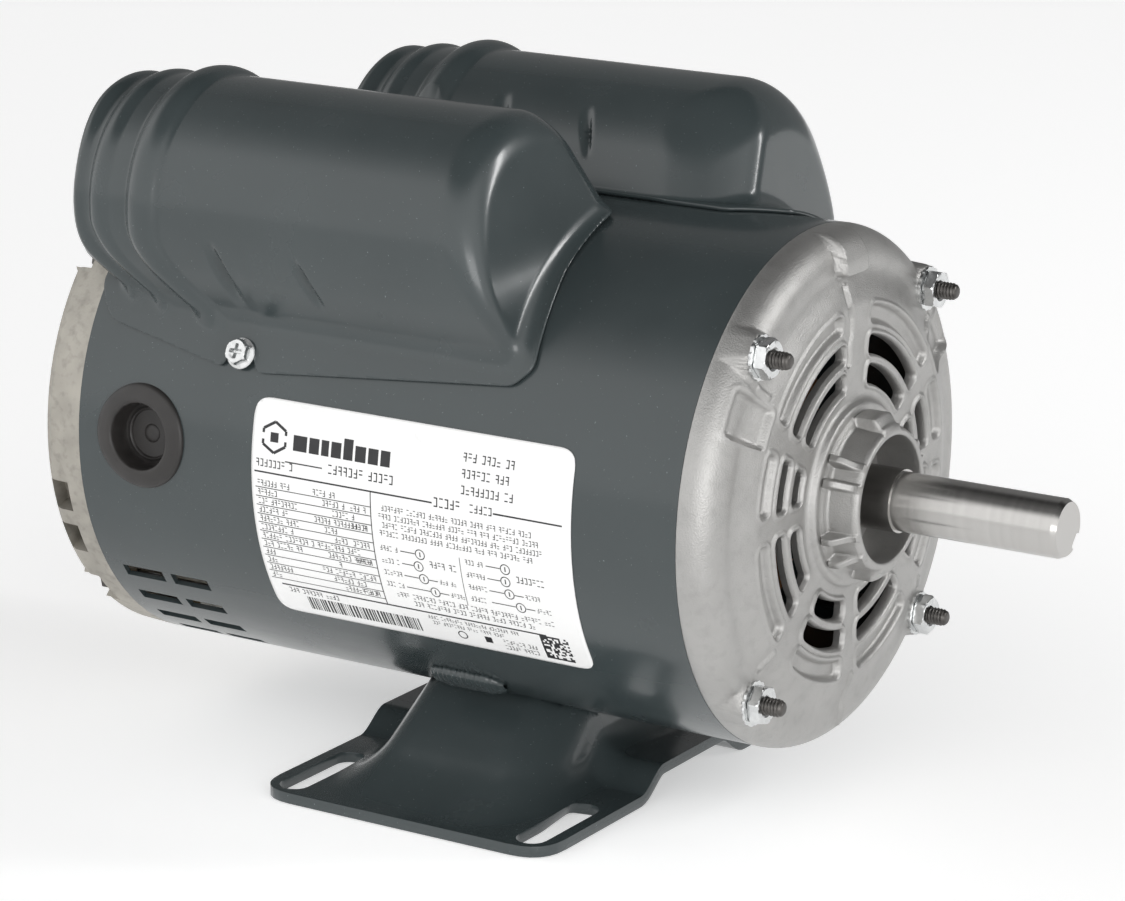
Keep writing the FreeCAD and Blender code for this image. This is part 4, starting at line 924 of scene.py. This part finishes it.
def make_nameplate():
    """The plate, and its print: emblem, headings, table, diagrams and patterns that encode nothing."""
    along, down = np.meshgrid(np.linspace(-0.5, PLATE_LONG + 0.5, PLATE_COLUMNS),
                              np.linspace(-0.5, PLATE_TALL + 0.5, PLATE_ROWS))
    plan = np.column_stack([along.ravel(), down.ravel()])
    outline = rounded_outline([(0, 0), (PLATE_LONG, 0), (PLATE_LONG, PLATE_TALL), (0, PLATE_TALL)],
                              PLATE_CORNER)
    nearest, inside = to_outline(plan, outline)
    plan = np.where(inside[:, None], plan, nearest)
    faces = [face for face in grid_faces(PLATE_ROWS, PLATE_COLUMNS) if inside[list(face)].any()]
    piece("rating_plate", on_plate(plan[:, 0], plan[:, 1], PLATE_LIFT), faces, "label", "nameplate",
          sharp=40, away_from=(0, 0, 0), thickness=PLATE_GAUGE)
    ink = Print()
    for side in range(6):
        first, second = math.radians(60 * side + 30), math.radians(60 * side + 90)
        ink.line((7.2 + 4.2 * math.cos(first), 10.4 + 4.2 * math.sin(first)),
                 (7.2 + 4.2 * math.cos(second), 10.4 + 4.2 * math.sin(second)), 0.8)
    ink.box(5.9, 9.1, 8.5, 11.7)
    place = 13.4
    for width, tall in ((4.4, 4.2), (3.2, 4.2), (2.4, 4.2), (3.2, 4.2), (3.0, 5.6), (3.4, 4.2),
                        (3.2, 4.2), (3.0, 4.2)):
        ink.box(place, 13.0 - tall, place + width, 13.0)
        place += width + 0.75
    ink.rule(11.0, 16.2, 23.0, 0.35)
    ink.marks(25.0, 15.0, 46.0, 2.5, 3)
    for index in range(3):  # right-hand heading
        ink.marks(67.0, 5.6 + index * 4.3, 82.5, 2.3, 30 + index)
    ink.marks(1.6, 16.6, 12.5, 2.1, 5)
    ink.rule(1.0, 20.0, 58.0, 0.45)
    ink.marks(58.6, 18.6, 67.5, 2.6, 6)
    ink.marks(69.8, 18.8, 76.0, 2.2, 7)
    ink.rule(77.0, 20.0, 98.0, 0.45)
    for index in range(12):  # ratings table
        top = 22.4 + index * 2.55
        ink.rule(1.2, top + 2.0, 38.4, 0.24)
        ink.marks(2.0, top, 2.0 + (10, 6, 13, 9, 12, 10, 16, 12, 4, 3, 7, 3)[index], 1.65, 40 + index)
        ink.marks(20.0 + 3 * (index % 3), top, 27.0 + 3 * (index % 4), 1.65, 60 + index)
        if index % 2:
            ink.marks(32.0, top, 36.5, 1.65, 80 + index)
    ink.box(38.4, 20.0, 38.7, 54.4)
    for index in range(4):
        ink.marks(42.0 - index % 2, 23.4 + index * 2.35, 88.0 + 2 * (index % 3), 1.55, 100 + index)
    print_diagram(ink, 40.6, 35.6, ((0.6, False), (-0.4, False), (0.6, True), (3.4, True)), 120)
    print_diagram(ink, 67.4, 35.2, ((0.4, False), (0.0, False), (0.6, True), (3.4, True)), 160)
    ink.box(65.6, 34.2, 65.8, 49.0)
    ink.marks(56.0, 37.0, 64.0, 1.9, 180)
    ink.marks(83.0, 36.6, 92.0, 1.9, 181)
    for index in range(2):
        ink.marks(43.0 + 5 * index, 49.0 + index * 2.3, 92.0 - 7 * index, 1.6, 190 + index)
    ink.rule(4.0, 54.2, 88.5, 0.5)
    ink.marks(6.0, 55.2, 22.0, 1.7, 200)
    draw = np.random.default_rng(11)  # strip of uneven bars, and below it the square of cells
    place = 11.0
    while place < 47.5:
        width = draw.choice([0.22, 0.22, 0.45, 0.65])
        ink.box(place, 57.8, place + width, 62.6)
        place += width + draw.choice([0.25, 0.35, 0.5])
    for index in range(2):
        ink.marks(51.0 + index, 55.3 + index * 2.0, 79.0 - 5 * index, 1.3, 210 + index)
    ink.ring(60.5, 60.8, 1.5, 0.35)
    ink.box(67.6, 59.6, 69.8, 61.8)
    for index in range(2):
        ink.marks(73.5, 59.4 + index * 2.2, 83.5, 1.5, 220 + index)
    cell = 0.62
    for column in range(14):
        for line in range(14):
            if column == 0 or line == 13 or draw.random() < 0.5:
                ink.box(86.2 + column * cell, 54.6 + line * cell, 86.2 + (column + 1) * cell,
                        54.6 + (line + 1) * cell)
    points, faces = join(ink.parts)
    piece("rating_print", points, faces, "label", look="ink", sharp=30, away_from=(0, 0, 0))


# ---------------------------------------------------------------- camera, floor and light

CAMERA_ANGLES = (-57.87, 15.26, 0.31)  # azimuth, elevation and roll in degrees
CAMERA_DISTANCE = 1.1483
CAMERA_LENS = 133.63
CAMERA_SHIFT = (0.0078, -0.0080)
FLOOR_SIZE = 12
FLOOR_DROP = 0.0002
FLOOR_GLOW = 0.42
WORLD_STRENGTH = 1.35
# The studio fades from white to a share of it along each axis: overhead, and to the far side.
WORLD_FADES = (("Z", 6, 0.66, 0.84, 0.12), ("X", 7, -0.15, 0.40, 0.16))


def make_camera():
    """The camera, aimed at the middle of the shaft's axis."""
    azimuth, elevation, roll = (math.radians(angle) for angle in CAMERA_ANGLES)
    back = Vector((math.sin(azimuth) * math.cos(elevation),
                   -math.cos(azimuth) * math.cos(elevation), math.sin(elevation)))
    level = Vector((math.cos(azimuth), math.sin(azimuth), 0))
    upward = back.cross(level)
    right = level * math.cos(roll) + upward * math.sin(roll)
    top = upward * math.cos(roll) - level * math.sin(roll)
    data = bpy.data.cameras.new("camera")
    data.lens = CAMERA_LENS
    data.sensor_width = 36
    data.shift_x, data.shift_y = CAMERA_SHIFT
    data.clip_start = 0.05
    data.clip_end = 30
    camera = bpy.data.objects.new("camera", data)
    turn = Matrix((right, top, back)).transposed().to_4x4()
    place = Vector((0, 0, AXIS_HEIGHT * MM)) + back * CAMERA_DISTANCE
    camera.matrix_world = Matrix.Translation(place) @ turn
    bpy.context.scene.collection.objects.link(camera)
    bpy.context.scene.camera = camera


def area_light(name, place, target, size, power):
    """A white soft light at a place in metres, facing a target."""
    data = bpy.data.lights.new(name, "AREA")
    data.shape = "RECTANGLE"
    data.size, data.size_y = size
    data.energy = power
    lamp = bpy.data.objects.new(name, data)
    lamp.location = place
    aim = Vector(target) - Vector(place)
    lamp.rotation_euler = aim.to_track_quat("-Z", "Y").to_euler()
    bpy.context.scene.collection.objects.link(lamp)


def make_stage():
    """A plain pale floor, a pale studio around it and two soft lights."""
    bpy.ops.mesh.primitive_plane_add(size=FLOOR_SIZE, location=(0, 0, -FLOOR_DROP))
    floor = bpy.context.object
    floor.name = "floor"
    material = bpy.data.materials.new("floor")
    material.use_nodes = True
    shader = material.node_tree.nodes["Principled BSDF"]
    set_inputs(shader, {"Base Color": (0.9, 0.9, 0.9, 1), "Roughness": 0.7,
                        "Emission Color": (1, 1, 1, 1), "Emission Strength": FLOOR_GLOW})
    floor.data.materials.append(material)
    world = bpy.data.worlds.new("studio")
    world.use_nodes = True
    nodes, links = world.node_tree.nodes, world.node_tree.links
    split = nodes.new("ShaderNodeSeparateXYZ")
    links.new(nodes.new("ShaderNodeTexCoord").outputs["Generated"], split.inputs[0])
    walls = nodes.new("ShaderNodeMix")
    walls.data_type = "RGBA"
    walls.blend_type = "MULTIPLY"
    walls.inputs["Factor"].default_value = 1.0
    for axis, socket, start, end, shade in WORLD_FADES:
        part = nodes.new("ShaderNodeMapRange")
        set_inputs(part, {"From Min": start, "From Max": end, "To Min": 1.0, "To Max": shade})
        links.new(split.outputs[axis], part.inputs["Value"])
        links.new(part.outputs["Result"], walls.inputs[socket])
    links.new(walls.outputs[2], nodes["Background"].inputs["Color"])
    nodes["Background"].inputs["Strength"].default_value = WORLD_STRENGTH
    bpy.context.scene.world = world
    bpy.context.scene.view_settings.view_transform = "Standard"
    area_light("key", (0.65, -1.36, 0.90), (0, 0, 0.09), (0.14, 0.70), 7)
    area_light("left_fill", (-1.2, -1.3, 0.35), (0, 0, 0.05), (0.8, 0.5), 5)


make_camera()
materials = make_materials()
dress_cad_nodes()
make_cover("start_cover_skin", "start_capacitor_cover", 0.0, 1, NEAR_FRONT)
make_cover("run_cover_skin", "run_capacitor_cover", COVER_FAR_SHIFT, -1, FAR_FRONT)
make_base()
make_welds()
make_drive_bell()
make_fasteners()
make_cover_screws()
make_plug()
make_nameplate()
make_stage()
